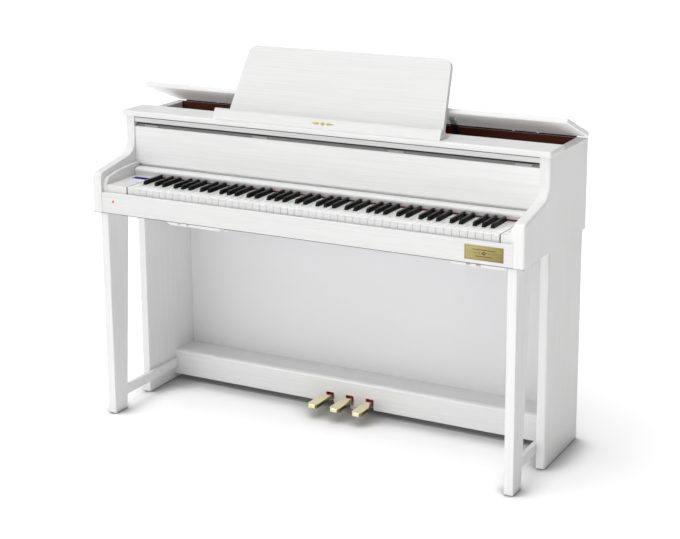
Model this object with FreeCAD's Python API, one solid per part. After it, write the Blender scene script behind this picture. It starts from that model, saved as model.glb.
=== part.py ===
import FreeCAD, Part
import math
import os

# Upright console piano with a propped lid, a music desk, a sliding key cover and three pedals.
# Millimetres. X runs from the bass end to the treble end, Y from the player to the back, Z up.
# The origin is on the floor, at the middle of the piano's width and depth.

# Whole cabinet
HALF_DEPTH = 244.5
BOARD_HALF_W = 717.0
SIDE_OUT = 712.0
SIDE_IN = 680.0
TOP_Z = 952.0
SIDE_TOP_Z = 934.0
BODY_BOTTOM_Z = 662.0
FIT = 0.5

# Side panel outline
BROW_Y = -60.0
ARM_SLOPE = 0.19
ARM_TOP_AT_FRONT = 784.5
BROW_RADIUS = 50.0
ARM_NOSE_RADIUS = 18.0
SIDE_EDGE_RADIUS = 6.0

# Top board, rail and front panel
BOARD_FRONT_Y = -71.5
BOARD_REAR_Y = 39.0
BOARD_EDGE_RADIUS = 5.0
PANEL_FRONT_Y = -56.0
PANEL_T = 18.0
PANEL_BOTTOM_Z = 777.0
PANEL_TOP_Z = 901.0
RAIL_BOTTOM_Z = 915.0
BATTEN_STEP = 14.0
LUG_XS = (-620.0, -222.0, 235.0, 630.0)
LUG_W = 50.0
LUG_H = 7.0

# Lid and its hinge, laid out closed and then swung open
LID_OPEN_DEG = 21.4
LID_T = 15.0
LID_GAP = 1.0
LID_REAR_Y = 236.0
LID_AXIS_Y = 239.5
LID_AXIS_Z = 939.0
HINGE_XS = (-520.0, 0.0, 520.0)
HINGE_LENGTH = 70.0
HINGE_BARREL_R = 2.4

# Lid stay, laid out folded under the closed lid and then swung down
STAY_X = 345.0
STAY_W = 18.0
STAY_T = 6.0
STAY_LENGTH = 100.0
STAY_AXIS_Y = 95.0
STAY_AXIS_Z = 930.5
STAY_FOLD_DEG = 58.0
SHELF_TOP_Z = 893.0
SHELF_T = 12.0
SHELF_Y = (62.0, 214.0)
INNER_BACK_T = 8.0

# Speakers in the shelf
SPEAKER_XS = (-430.0, 430.0)
SPEAKER_Y = 137.0
SPEAKER_HOLE_R = 56.0

# Music desk
DESK_LEAN_DEG = 28.0
DESK_T = 16.0
DESK_AXIS_Y = 4.0
DESK_AXIS_Z = 961.0
DESK_LENGTH = 221.0
DESK_BOTTOM_HALF_W = 362.0
DESK_TOP_HALF_W = 341.0
DESK_CORNER_R = 26.0
LEDGE_HALF_W = 380.5
LEDGE_FRONT_Y = -70.0
LEDGE_CREST_Y = -52.0
LEDGE_CREST_Z = 984.0
LEDGE_REAR_Y = 2.0

# Keyboard
KEY_PITCH = 23.56
KEYS_LEFT = -590.4
KEY_FRONT_Y = -231.5
KEY_HEAD_REAR_Y = -181.5
KEY_TOP_REAR_Y = -86.0
KEY_TOP_Z = 748.7
KEY_HEAD_T = 24.0
KEY_SLIT = 0.5
KEY_STICK_BOTTOM_Z = 716.0
KEY_STICK_TOP_Z = 742.0
KEY_STICK_REAR_Y = 150.0
SHARP_TOP_Z = 760.4
SHARP_W = 10.4
SHARP_FRONT_SLOPE = 7.0
FIRST_KEY = 21
LAST_KEY = 108
OCTAVE = range(60, 72)
NOTE_NAMES = ("c", "c_sharp", "d", "d_sharp", "e", "f", "f_sharp", "g", "g_sharp", "a", "a_sharp", "b")
SHARPS = (1, 3, 6, 8, 10)
NATURALS = (0, 2, 4, 5, 7, 9, 11)
BALANCE_Y = 20.0
RAIL_CLEARANCE = 0.5
PIVOT_ROD_R = 3.0
PIVOT_NOTCH_R = 3.2

# Key bed, key slip, end blocks and cheeks
BED_T = 22.0
SLIP_REAR_Y = -233.2
SLIP_TOP_Z = 727.0
SLIP_FRONT_Y = -243.7
BLOCK_TOP_Z = 749.0
BLOCK_REAR_Y = -40.0
LEFT_BLOCK_EDGE_X = -593.6
RIGHT_BLOCK_EDGE_X = 638.0
CHEEK_IN = 667.0
CHEEK_TOP_Z = 787.0
CHEEK_FRONT_Y = -233.0
DISPLAY_X = (-650.0, -597.0)
DISPLAY_Y = (-127.0, -101.0)
KNOB_X = 654.0
KNOB_Y = -190.0
KNOB_R = 8.0
KNOB_H = 6.0

# Sliding key cover
COVER_HALF_W = 664.0
COVER_BOTTOM_Z = 763.0
COVER_T = 10.0
COVER_REAR_Y = 118.0
COVER_LIP_Y = (-88.0, -62.0)
COVER_LIP_Z = (762.0, 776.0)
STOP_RAIL_Y = (-80.0, -68.0)

# Lower cabinet
LOWER_OUT = 703.6
LOWER_IN = 675.8
LOWER_FRONT_Y = -28.0
GLIDE_H = 3.0
LEG_OUT = 690.3
LEG_W = 28.6
LEG_FRONT_Y = -238.0
LEG_DEPTH_FOOT = 63.0
LEG_DEPTH_TOP = 108.0
STRETCHER_Z = (46.0, 76.0)
STRETCHER_T = 14.1
BACK_Y = (234.0, 240.0)
BACK_TOP_Z = 936.4

# Pedal box and pedals
BOX_FRONT_Y = 119.0
BOX_T = 18.0
BOX_BOTTOM_Z = 20.0
BOX_TOP_Z = 101.0
PEDAL_MIDDLE_X = -10.0
PEDAL_SPACING = 71.0
SLOT_W = 28.0
SLOT_TOP_Z = 55.0
FELT_T = 1.5
PEDAL_PIVOT_Y = 212.0
PEDAL_Z = (36.0, 49.0)
PEDAL_TOE_Y = 8.0
PEDAL_NECK_W = 23.0
PEDAL_SHAFT_R = 3.0
PEDAL_BORE_R = 3.3

# Underside fittings
PHONES_X = (-450.0, -251.0)
PORT_X = (488.0, 661.0)
UNDER_H = 11.5
UNDER_Y = (-238.0, -186.0)
JACK_XS = (-400.0, -370.0)
JACK_R = 3.25
JACK_DEPTH = 16.0
PORT_HOLE_XS = (540.0, 570.0)
PORT_HOLE = (13.0, 5.6, 15.0)
INLET_X = (560.0, 600.0)
INLET_Z = (690.0, 718.0)
INLET_SOCKET = (24.0, 16.5)
INLET_DEPTH = 16.0


def vec(x, y, z):
    return FreeCAD.Vector(x, y, z)


def block(x, y, z):
    """A box from three (low, high) pairs."""
    size = [high - low for low, high in (x, y, z)]
    return Part.makeBox(size[0], size[1], size[2], vec(x[0], y[0], z[0]))


def rounded_wire(corners, place):
    """A closed wire through (a, b) corners; a corner (a, b, r) is rounded by an arc of radius r."""
    flat = [vec(corner[0], corner[1], 0) for corner in corners]
    radii = [corner[2] if len(corner) > 2 else 0.0 for corner in corners]
    stops = []
    for index, point in enumerate(flat):
        if not radii[index]:
            stops.append((point, None, point))
            continue
        back = (flat[index - 1] - point).normalize()
        ahead = (flat[(index + 1) % len(flat)] - point).normalize()
        half = back.getAngle(ahead) / 2
        reach = radii[index] / math.tan(half)
        bisector = (back + ahead).normalize()
        middle = point + bisector * (radii[index] / math.sin(half) - radii[index])
        stops.append((point + back * reach, middle, point + ahead * reach))
    edges = []
    for index, (start, middle, end) in enumerate(stops):
        if middle is not None:
            edges.append(Part.Arc(place(start), place(middle), place(end)).toShape())
        following = stops[(index + 1) % len(stops)][0]
        if end.distanceToPoint(following) > 1e-6:
            edges.append(Part.LineSegment(place(end), place(following)).toShape())
    return Part.Wire(edges)


def prism_x(corners, x):
    """An outline of (y, z) corners, from x[0] to x[1]."""
    wire = rounded_wire(corners, lambda p: vec(x[0], p.x, p.y))
    return Part.Face(wire).extrude(vec(x[1] - x[0], 0, 0))


def prism_y(corners, y):
    """An outline of (x, z) corners, from y[0] to y[1]."""
    wire = rounded_wire(corners, lambda p: vec(p.x, y[0], p.y))
    return Part.Face(wire).extrude(vec(0, y[1] - y[0], 0))


def prism_z(corners, z):
    """An outline of (x, y) corners, from z[0] to z[1]."""
    wire = rounded_wire(corners, lambda p: vec(p.x, p.y, z[0]))
    return Part.Face(wire).extrude(vec(0, 0, z[1] - z[0]))


def disc(centre, radius, height, direction=(0, 0, 1)):
    return Part.makeCylinder(radius, height, vec(*centre), vec(*direction))


def fused(shapes):
    whole = shapes[0].multiFuse(shapes[1:]).removeSplitter()
    return whole.Solids[0] if len(whole.Solids) == 1 else whole


def turned(shape, y, z, degrees):
    """A copy of shape, turned about the axis through (y, z) that runs along +X."""
    copy = shape.copy()
    copy.rotate(vec(0, y, z), vec(1, 0, 0), degrees)
    return copy


def mirrored(shape):
    """The same piece at the other end of the piano."""
    return shape.mirror(vec(0, 0, 0), vec(1, 0, 0))


def softened(shape, radius, wanted):
    """Fillets the edges whose middle point passes the test."""
    edges = [edge for edge in shape.Edges if wanted(edge.CenterOfMass, edge)]
    return shape.makeFillet(radius, edges)


def save(name, shapes):
    """Writes one node, which may be a group of separate solids."""
    shape = Part.makeCompound(shapes) if isinstance(shapes, list) else shapes
    assert shape.isValid(), name
    shape.exportStep("parts/" + name + ".step")


def both_ends(name, right):
    save("right_" + name, right)
    save("left_" + name, mirrored(right))


def make_side_panels():
    at_brow = ARM_TOP_AT_FRONT + ARM_SLOPE * (BROW_Y + HALF_DEPTH)
    outline = [
        (HALF_DEPTH, BODY_BOTTOM_Z), (HALF_DEPTH, SIDE_TOP_Z), (BROW_Y, SIDE_TOP_Z),
        (BROW_Y, at_brow, BROW_RADIUS), (-HALF_DEPTH, ARM_TOP_AT_FRONT, ARM_NOSE_RADIUS),
        (-HALF_DEPTH, BODY_BOTTOM_Z),
    ]
    panel = prism_x(outline, (SIDE_IN, SIDE_OUT))

    def front_edge(middle, edge):
        along_profile = abs(middle.x - SIDE_OUT) < 0.1
        return along_profile and middle.y < BROW_Y + 1 and middle.z > BODY_BOTTOM_Z + 1

    both_ends("side_panel", softened(panel, SIDE_EDGE_RADIUS, front_edge))


def make_top_board():
    """The fixed front strip, with the glued batten that the closed lid lands on."""
    board = block((-BOARD_HALF_W, BOARD_HALF_W), (BOARD_FRONT_Y, BOARD_REAR_Y), (SIDE_TOP_Z, TOP_Z))

    def outer_edge(middle, edge):
        return abs(middle.x) > BOARD_HALF_W - 0.1 or middle.y < BOARD_FRONT_Y + 0.1

    board = softened(board, BOARD_EDGE_RADIUS, outer_edge)
    batten_y = (BOARD_REAR_Y - 22, BOARD_REAR_Y + BATTEN_STEP)
    batten = block((-SIDE_IN, SIDE_IN), batten_y, (SIDE_TOP_Z - 14, SIDE_TOP_Z))
    save("top_board", fused([board, batten]))


def make_top_rail():
    """The rail under the top board, above the slot that lets the sound out."""
    y = (PANEL_FRONT_Y, PANEL_FRONT_Y + PANEL_T)
    save("top_rail", block((-SIDE_IN, SIDE_IN), y, (RAIL_BOTTOM_Z, SIDE_TOP_Z)))


def make_front_panel():
    """Panel over the keys, with four low lugs standing on its top edge in the slot."""
    rear = PANEL_FRONT_Y + PANEL_T
    outline = [
        (PANEL_FRONT_Y, PANEL_TOP_Z, 2), (PANEL_FRONT_Y, PANEL_BOTTOM_Z, 8),
        (rear, PANEL_BOTTOM_Z), (rear, PANEL_TOP_Z),
    ]
    pieces = [prism_x(outline, (-SIDE_IN, SIDE_IN))]
    for x in LUG_XS:
        lug_z = (PANEL_TOP_Z - 1, PANEL_TOP_Z + LUG_H)
        pieces.append(block((x - LUG_W / 2, x + LUG_W / 2), (PANEL_FRONT_Y + 4, rear), lug_z))
    save("front_panel", fused(pieces))


def open_lid(shape):
    return turned(shape, LID_AXIS_Y, LID_AXIS_Z, -LID_OPEN_DEG)


def make_lid():
    """The rear part of the top, with the two ears that carry the stay."""
    front = BOARD_REAR_Y + LID_GAP
    board = block((-BOARD_HALF_W, BOARD_HALF_W), (front, LID_REAR_Y), (TOP_Z - LID_T, TOP_Z))

    def outer_edge(middle, edge):
        return abs(middle.x) > BOARD_HALF_W - 0.1 or middle.y < front + 0.1

    board = softened(board, BOARD_EDGE_RADIUS - 1, outer_edge)
    pieces = [board]
    ear_gap = STAY_W / 2 + FIT
    for side in (-1, 1):
        x = sorted((STAY_X + side * ear_gap, STAY_X + side * (ear_gap + 3)))
        outline = [
            (STAY_AXIS_Y - 8, TOP_Z - LID_T + 0.5), (STAY_AXIS_Y + 8, TOP_Z - LID_T + 0.5),
            (STAY_AXIS_Y + 6, STAY_AXIS_Z - 5, 5), (STAY_AXIS_Y - 6, STAY_AXIS_Z - 5, 5),
        ]
        pieces.append(prism_x(outline, x))
    pin_length = STAY_W + 2 * FIT + 2
    pin = disc((STAY_X - pin_length / 2, STAY_AXIS_Y, STAY_AXIS_Z), 1.8, pin_length, (1, 0, 0))
    pieces.append(pin)
    save("lid", open_lid(fused(pieces)))


def make_lid_stay():
    """The black prop: flat bar with an eye round the pin at one end."""
    x = (STAY_X - STAY_W / 2, STAY_X + STAY_W / 2)
    half = STAY_T / 2
    outline = [
        (STAY_AXIS_Y, STAY_AXIS_Z - half), (STAY_AXIS_Y + STAY_LENGTH, STAY_AXIS_Z - half, 2),
        (STAY_AXIS_Y + STAY_LENGTH, STAY_AXIS_Z + half, 2), (STAY_AXIS_Y, STAY_AXIS_Z + half),
    ]
    eye = disc((x[0], STAY_AXIS_Y, STAY_AXIS_Z), 4.5, STAY_W, (1, 0, 0))
    bore = disc((x[0] - 1, STAY_AXIS_Y, STAY_AXIS_Z), 2.1, STAY_W + 2, (1, 0, 0))
    folded = fused([prism_x(outline, x), eye]).cut(bore)
    dropped = turned(folded, STAY_AXIS_Y, STAY_AXIS_Z, -STAY_FOLD_DEG + LID_OPEN_DEG)
    save("lid_stay", open_lid(dropped))


def make_lid_hinges():
    """Fixed leaves, screwed to the back, with the barrels that the lid turns on."""
    leaves = []
    for x in HINGE_XS:
        span = (x - HINGE_LENGTH / 2, x + HINGE_LENGTH / 2)
        barrel = disc((span[0], LID_AXIS_Y, LID_AXIS_Z), HINGE_BARREL_R, HINGE_LENGTH, (1, 0, 0))
        leaf = block(span, (BACK_Y[1], BACK_Y[1] + 1.6), (SIDE_TOP_Z - 20, LID_AXIS_Z))
        leaves.append(fused([barrel, leaf]))
    save("lid_hinges", leaves)


def make_interior():
    """Brown inner back wall, and the shelf across the cabinet that holds the speakers."""
    wall_y = (SHELF_Y[1], SHELF_Y[1] + INNER_BACK_T)
    save("inner_back_board", block((-SIDE_IN, SIDE_IN), wall_y, (690, BACK_TOP_Z)))
    shelf = block((-SIDE_IN, SIDE_IN), SHELF_Y, (SHELF_TOP_Z - SHELF_T, SHELF_TOP_Z))
    for x in SPEAKER_XS:
        shelf = shelf.cut(disc((x, SPEAKER_Y, SHELF_TOP_Z - SHELF_T - 1), SPEAKER_HOLE_R, SHELF_T + 2))
    stay_rest = block((STAY_X - 14, STAY_X + 14), (140, 172), (SHELF_TOP_Z - 1, SHELF_TOP_Z + 2.5))
    save("speaker_shelf", fused([shelf, stay_rest]))


def make_speakers():
    """Two drivers hung in the shelf: flange, basket, cone and magnet turned as one section."""
    drivers = []
    base = SHELF_TOP_Z
    for x in SPEAKER_XS:
        flange = Part.makeCylinder(64, 3, vec(x, SPEAKER_Y, base))
        basket = Part.makeCone(30, 54, 34, vec(x, SPEAKER_Y, base - 34))
        magnet = Part.makeCylinder(38, 18, vec(x, SPEAKER_Y, base - 52))
        cone = Part.makeCone(14, 48, 26, vec(x, SPEAKER_Y, base - 23 + 0.001))
        bowl = Part.makeCylinder(48, 4, vec(x, SPEAKER_Y, base))
        drivers.append(fused([flange, basket, magnet]).cut(cone).cut(bowl))
    save("speakers", drivers)


def make_music_desk():
    crest = (LEDGE_CREST_Y, LEDGE_CREST_Z, 3)
    ledge = prism_x([(LEDGE_FRONT_Y, TOP_Z), crest, (LEDGE_REAR_Y, TOP_Z)], (-LEDGE_HALF_W, LEDGE_HALF_W))
    save("music_ledge", ledge)
    half = DESK_T / 2
    top = DESK_AXIS_Z + DESK_LENGTH
    outline = [
        (-DESK_BOTTOM_HALF_W, DESK_AXIS_Z), (DESK_BOTTOM_HALF_W, DESK_AXIS_Z),
        (DESK_TOP_HALF_W, top, DESK_CORNER_R), (-DESK_TOP_HALF_W, top, DESK_CORNER_R),
    ]
    board = prism_y(outline, (DESK_AXIS_Y - half, DESK_AXIS_Y + half))
    heel_start = (-DESK_BOTTOM_HALF_W, DESK_AXIS_Y, DESK_AXIS_Z)
    heel = disc(heel_start, half - 0.01, 2 * DESK_BOTTOM_HALF_W, (1, 0, 0))
    upright = fused([board, heel])
    save("music_desk", turned(upright, DESK_AXIS_Y, DESK_AXIS_Z, -DESK_LEAN_DEG))


def octave_left(number):
    """The X of the left edge of the C below a key, from its number, where 60 is middle C."""
    octaves_from_first_c = number // 12 - 2
    return KEYS_LEFT + (2 + 7 * octaves_from_first_c) * KEY_PITCH


def neck_span(number):
    """The X span of a key where natural and sharp keys lie side by side."""
    note = number % 12
    left = octave_left(number)
    if note < 5:
        width = 3 * KEY_PITCH / 5
        start = left + note * width
    else:
        width = 4 * KEY_PITCH / 7
        start = left + 3 * KEY_PITCH + (note - 5) * width
    return start + KEY_SLIT, start + width - KEY_SLIT


def head_span(number):
    """The X span of a natural key's wide front."""
    start = octave_left(number) + NATURALS.index(number % 12) * KEY_PITCH
    return start + KEY_SLIT / 2, start + KEY_PITCH - KEY_SLIT / 2


def key_shape(number):
    neck = neck_span(number)
    stick_y = (KEY_HEAD_REAR_Y + 4, KEY_STICK_REAR_Y)
    stick_z = (KEY_STICK_BOTTOM_Z, KEY_STICK_TOP_Z)
    notch_start = (neck[0] - 1, BALANCE_Y, KEY_STICK_BOTTOM_Z)
    notch = disc(notch_start, PIVOT_NOTCH_R, neck[1] - neck[0] + 2, (1, 0, 0))
    if number % 12 in SHARPS:
        middle = (neck[0] + neck[1]) / 2
        outline = [
            (KEY_HEAD_REAR_Y + 1.5, KEY_STICK_TOP_Z - 2), (KEY_TOP_REAR_Y, KEY_STICK_TOP_Z - 2),
            (KEY_TOP_REAR_Y, SHARP_TOP_Z), (KEY_HEAD_REAR_Y + SHARP_FRONT_SLOPE, SHARP_TOP_Z, 3),
        ]
        cap = prism_x(outline, (middle - SHARP_W / 2, middle + SHARP_W / 2))
        return fused([block(neck, stick_y, stick_z), cap]).cut(notch)
    head = head_span(number)
    neck_left = head[0] if number == FIRST_KEY else neck[0]
    neck_right = head[1] if number == LAST_KEY else neck[1]
    tops_z = (KEY_TOP_Z - KEY_HEAD_T, KEY_TOP_Z)
    front = block(head, (KEY_FRONT_Y, KEY_HEAD_REAR_Y), tops_z)
    back = block((neck_left, neck_right), (KEY_HEAD_REAR_Y, KEY_TOP_REAR_Y), tops_z)
    stick = block(neck, (KEY_FRONT_Y + 6, KEY_STICK_REAR_Y), stick_z)
    return fused([front, back, stick]).cut(notch)


def make_keys():
    """One octave is made key by key; the rest are a group of naturals and a group of sharps."""
    groups = {"other_white_keys": [], "other_black_keys": []}
    for number in range(FIRST_KEY, LAST_KEY + 1):
        note = number % 12
        if number in OCTAVE:
            save("key_" + NOTE_NAMES[note], key_shape(number))
        elif note in SHARPS:
            groups["other_black_keys"].append(key_shape(number))
        else:
            groups["other_white_keys"].append(key_shape(number))
    for name, shapes in groups.items():
        save(name, shapes)


def make_key_frame():
    """Front, balance and back rails on cross slats, with the rod that every key rocks on."""
    bed_top = BODY_BOTTOM_Z + BED_T
    seat = KEY_STICK_BOTTOM_Z - RAIL_CLEARANCE
    keys_right = KEYS_LEFT + 52 * KEY_PITCH
    x = (KEYS_LEFT, keys_right)
    rails = [
        block(x, (-215, -190), (bed_top, seat - 12)),
        block(x, (BALANCE_Y - 6, BALANCE_Y + 6), (bed_top, seat)),
        block(x, (134, 149), (bed_top, seat)),
        disc((KEYS_LEFT, BALANCE_Y, KEY_STICK_BOTTOM_Z), PIVOT_ROD_R, keys_right - KEYS_LEFT, (1, 0, 0)),
    ]
    slats = 6
    for index in range(slats):
        start = KEYS_LEFT + index * (keys_right - KEYS_LEFT - 40) / (slats - 1)
        rails.append(block((start, start + 40), (-215, 149), (bed_top, bed_top + 8)))
    save("key_frame", fused(rails))


def make_hammers():
    """One weighted hammer per key, over the rear ends of the keys, on a common rail."""
    hammers = []
    for number in range(FIRST_KEY, LAST_KEY + 1):
        left, right = neck_span(number)
        arm = block((left + 1.5, right - 1.5), (128, 200), (752, 759))
        weight = disc((left + 1.5, 137, 758), 8.5, right - left - 3, (1, 0, 0))
        trimmed = weight.common(block((left, right), (120, 160), (752, 775)))
        hammers.append(fused([arm, trimmed]))
    rail = block((-SIDE_IN, SIDE_IN), (190, SHELF_Y[1]), (759, 771))
    save("hammer_action", hammers + [rail])


def make_key_bed():
    bed_z = (BODY_BOTTOM_Z, BODY_BOTTOM_Z + BED_T)
    save("key_bed", block((-SIDE_IN, SIDE_IN), (SLIP_REAR_Y, 222), bed_z))
    outline = [
        (SLIP_FRONT_Y, BODY_BOTTOM_Z, 1.5), (SLIP_REAR_Y, BODY_BOTTOM_Z),
        (SLIP_REAR_Y, SLIP_TOP_Z, 3), (SLIP_FRONT_Y, SLIP_TOP_Z, 4),
    ]
    save("key_slip", prism_x(outline, (-SIDE_IN, SIDE_IN)))


def make_end_blocks():
    z = (BODY_BOTTOM_Z + BED_T, BLOCK_TOP_Z)
    y = (KEY_FRONT_Y, BLOCK_REAR_Y)
    left = block((-CHEEK_IN, LEFT_BLOCK_EDGE_X), y, z)
    pocket = block(DISPLAY_X, DISPLAY_Y, (BLOCK_TOP_Z - 1, BLOCK_TOP_Z + 1))
    save("left_control_block", left.cut(pocket))
    save("display_window", block(DISPLAY_X, DISPLAY_Y, (BLOCK_TOP_Z - 1, BLOCK_TOP_Z + 0.3)))
    right = block((RIGHT_BLOCK_EDGE_X, CHEEK_IN), y, z)
    well = disc((KNOB_X, KNOB_Y, BLOCK_TOP_Z - 12), 3.2, 14)
    save("right_end_block", right.cut(well))
    stem = disc((KNOB_X, KNOB_Y, BLOCK_TOP_Z - 11), 2.9, 13)
    cap = disc((KNOB_X, KNOB_Y, BLOCK_TOP_Z + 0.5), KNOB_R, KNOB_H)
    cap = softened(cap, 1.2, lambda middle, edge: middle.z > BLOCK_TOP_Z + KNOB_H)
    save("volume_knob", fused([stem, cap]))


def make_cheeks():
    """Rounded cheek boards inside the arms, standing on the key bed."""
    low = BODY_BOTTOM_Z + BED_T
    outline = [
        (CHEEK_FRONT_Y, low), (PANEL_FRONT_Y, low), (PANEL_FRONT_Y, CHEEK_TOP_Z),
        (-110, CHEEK_TOP_Z - 1, 300), (-170, CHEEK_TOP_Z - 7, 160), (CHEEK_FRONT_Y, CHEEK_TOP_Z - 19, 26),
    ]
    cheek = prism_x(outline, (CHEEK_IN, SIDE_IN))
    save("inner_cheeks", [mirrored(cheek), cheek])


def make_key_stop_rail():
    """The rail behind the keys, under the retracted key cover."""
    save("key_stop_rail", block((-CHEEK_IN, CHEEK_IN), STOP_RAIL_Y, (BLOCK_TOP_Z, COVER_LIP_Z[0] - 1)))


def make_felts():
    """Red felt: behind the keys, under the lid's front edge and round the pedal slots."""
    keys_right = KEYS_LEFT + 52 * KEY_PITCH
    key_felt_y = (STOP_RAIL_Y[0] - 4.5, STOP_RAIL_Y[0])
    key_felt = block((KEYS_LEFT, keys_right), key_felt_y, (KEY_TOP_Z + 0.8, KEY_TOP_Z + 3.6))
    lid_y = (BOARD_REAR_Y + 2, BOARD_REAR_Y + 12)
    lid_felt = block((-SIDE_IN + 6, SIDE_IN - 6), lid_y, (SIDE_TOP_Z, SIDE_TOP_Z + 2.4))
    linings = []
    for centre in pedal_centres():
        lining_y = (BOX_FRONT_Y + 0.5, BOX_FRONT_Y + BOX_T)
        lining = prism_y(slot_outline(centre, 0, BOX_BOTTOM_Z), lining_y)
        hollow_y = (BOX_FRONT_Y - 1, BOX_FRONT_Y + BOX_T + 1)
        linings.append(lining.cut(prism_y(slot_outline(centre, FELT_T, BOX_BOTTOM_Z - 1), hollow_y)))
    save("red_felts", [key_felt, lid_felt] + linings)


def make_key_cover():
    """Flat sliding board with a rounded lip along its front."""
    x = (-COVER_HALF_W, COVER_HALF_W)
    lip_y, lip_z = COVER_LIP_Y, COVER_LIP_Z
    plate = block(x, (lip_y[1] - 4, COVER_REAR_Y), (COVER_BOTTOM_Z, COVER_BOTTOM_Z + COVER_T))
    outline = [
        (lip_y[0], lip_z[0], 3), (lip_y[1], lip_z[0]),
        (lip_y[1], lip_z[1], 2), (lip_y[0], lip_z[0] + 9, 4),
    ]
    save("key_cover", fused([plate, prism_x(outline, x)]))


def make_name_plate():
    """Plain brass plate on the key slip."""
    save("name_plate", block((537, 652), (-HALF_DEPTH, SLIP_FRONT_Y), (672.2, 714.4)))


def make_backs():
    inlet_hole = block(INLET_X, (BACK_Y[0] - 1, BACK_Y[1] + 1), INLET_Z)
    upper = block((-SIDE_IN, SIDE_IN), BACK_Y, (BODY_BOTTOM_Z, BACK_TOP_Z))
    save("upper_back_board", upper.cut(inlet_hole))
    save("lower_back_board", block((-LOWER_IN, LOWER_IN), BACK_Y, (GLIDE_H + 40, BODY_BOTTOM_Z)))


def make_mains_inlet():
    """Mains socket in the upper back board, open to the rear."""
    body = block(INLET_X, (BACK_Y[0] - 10, BACK_Y[1] + 1), INLET_Z)
    x_mid = sum(INLET_X) / 2
    z_mid = sum(INLET_Z) / 2
    hollow_x = (x_mid - INLET_SOCKET[0] / 2, x_mid + INLET_SOCKET[0] / 2)
    hollow_z = (z_mid - INLET_SOCKET[1] / 2, z_mid + INLET_SOCKET[1] / 2)
    rear = BACK_Y[1] + 1
    hollow = block(hollow_x, (rear - INLET_DEPTH, rear + 1), hollow_z)
    save("mains_inlet", body.cut(hollow))


def make_circuit_board():
    bed_top = BODY_BOTTOM_Z + BED_T
    board = block((-420, -120), (156, 208), (bed_top + 8, bed_top + 9.6))
    posts = []
    for x in (-410, -130):
        for y in (162, 202):
            posts.append(disc((x, y, bed_top), 3, 8))
    chips = []
    for index in range(5):
        x = -395 + index * 55
        chips.append(block((x, x + 26), (168, 194), (bed_top + 9.6, bed_top + 14 + 3 * (index % 2))))
    save("circuit_board", fused([board] + posts + chips))


def make_lower_sides():
    outline = [
        (LOWER_OUT, LOWER_FRONT_Y, 6), (LOWER_IN, LOWER_FRONT_Y, 3),
        (LOWER_IN, HALF_DEPTH), (LOWER_OUT, HALF_DEPTH, 3),
    ]
    both_ends("lower_panel", prism_z(outline, (GLIDE_H, BODY_BOTTOM_Z)))


def make_legs():
    outline = [
        (LEG_FRONT_Y, GLIDE_H), (LEG_FRONT_Y + LEG_DEPTH_FOOT, GLIDE_H),
        (LEG_FRONT_Y + LEG_DEPTH_TOP, BODY_BOTTOM_Z), (LEG_FRONT_Y, BODY_BOTTOM_Z),
    ]
    leg = prism_x(outline, (LEG_OUT - LEG_W, LEG_OUT))

    def long_edge(middle, edge):
        return abs(middle.z - BODY_BOTTOM_Z / 2) < 20 and edge.Length > 500

    both_ends("front_leg", softened(leg, 3.0, long_edge))


def leg_rear_y(z):
    share = (z - GLIDE_H) / (BODY_BOTTOM_Z - GLIDE_H)
    return LEG_FRONT_Y + LEG_DEPTH_FOOT + share * (LEG_DEPTH_TOP - LEG_DEPTH_FOOT)


def make_stretchers():
    """Bars from the rear of each leg to the pedal box, along the inside of the lower panels."""
    low, high = STRETCHER_Z
    outline = [(leg_rear_y(low), low), (BOX_FRONT_Y, low), (BOX_FRONT_Y, high), (leg_rear_y(high), high)]
    bar = prism_x(outline, (LOWER_IN - STRETCHER_T, LOWER_IN))
    save("leg_stretchers", [mirrored(bar), bar])


def make_glides():
    discs = []
    for side in (-1, 1):
        for x, y in ((LEG_OUT - LEG_W / 2, -207), (690, -10), (690, 226)):
            discs.append(disc((side * x, y, 0), 10, GLIDE_H))
    save("floor_glides", discs)


def make_screw_caps():
    caps = []
    inner = LOWER_IN - STRETCHER_T
    for side in (-1, 1):
        for y in (-81, 16):
            start = side * inner if side > 0 else -inner
            caps.append(disc((start, y, 61), 5.5, 1.5, (-side, 0, 0)))
    for x in (-651, 12, 651):
        for z in (115, 628):
            caps.append(disc((x, BACK_Y[0], z), 6.5, 1.8, (0, -1, 0)))
    save("screw_caps", caps)


def pedal_centres():
    return [PEDAL_MIDDLE_X + step * PEDAL_SPACING for step in (-1, 0, 1)]


def slot_outline(centre, inset, bottom):
    half = SLOT_W / 2 - inset
    top = SLOT_TOP_Z - inset
    return [
        (centre - half, bottom), (centre + half, bottom),
        (centre + half, top, 4), (centre - half, top, 4),
    ]


def make_pedal_box():
    front_y = (BOX_FRONT_Y, BOX_FRONT_Y + BOX_T)
    outline = [
        (front_y[0], BOX_BOTTOM_Z), (front_y[1], BOX_BOTTOM_Z),
        (front_y[1], BOX_TOP_Z), (front_y[0], BOX_TOP_Z, 7),
    ]
    front = prism_x(outline, (-LOWER_IN, LOWER_IN))
    for centre in pedal_centres():
        notch = prism_y(slot_outline(centre, 0, BOX_BOTTOM_Z - 1), (front_y[0] - 1, front_y[1] + 1))
        front = front.cut(notch)
    save("pedal_box_front", front)
    top_z = (BOX_TOP_Z - 16, BOX_TOP_Z - 3)
    save("pedal_box_top", block((-LOWER_IN, LOWER_IN), (front_y[1], BACK_Y[0]), top_z))


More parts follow.
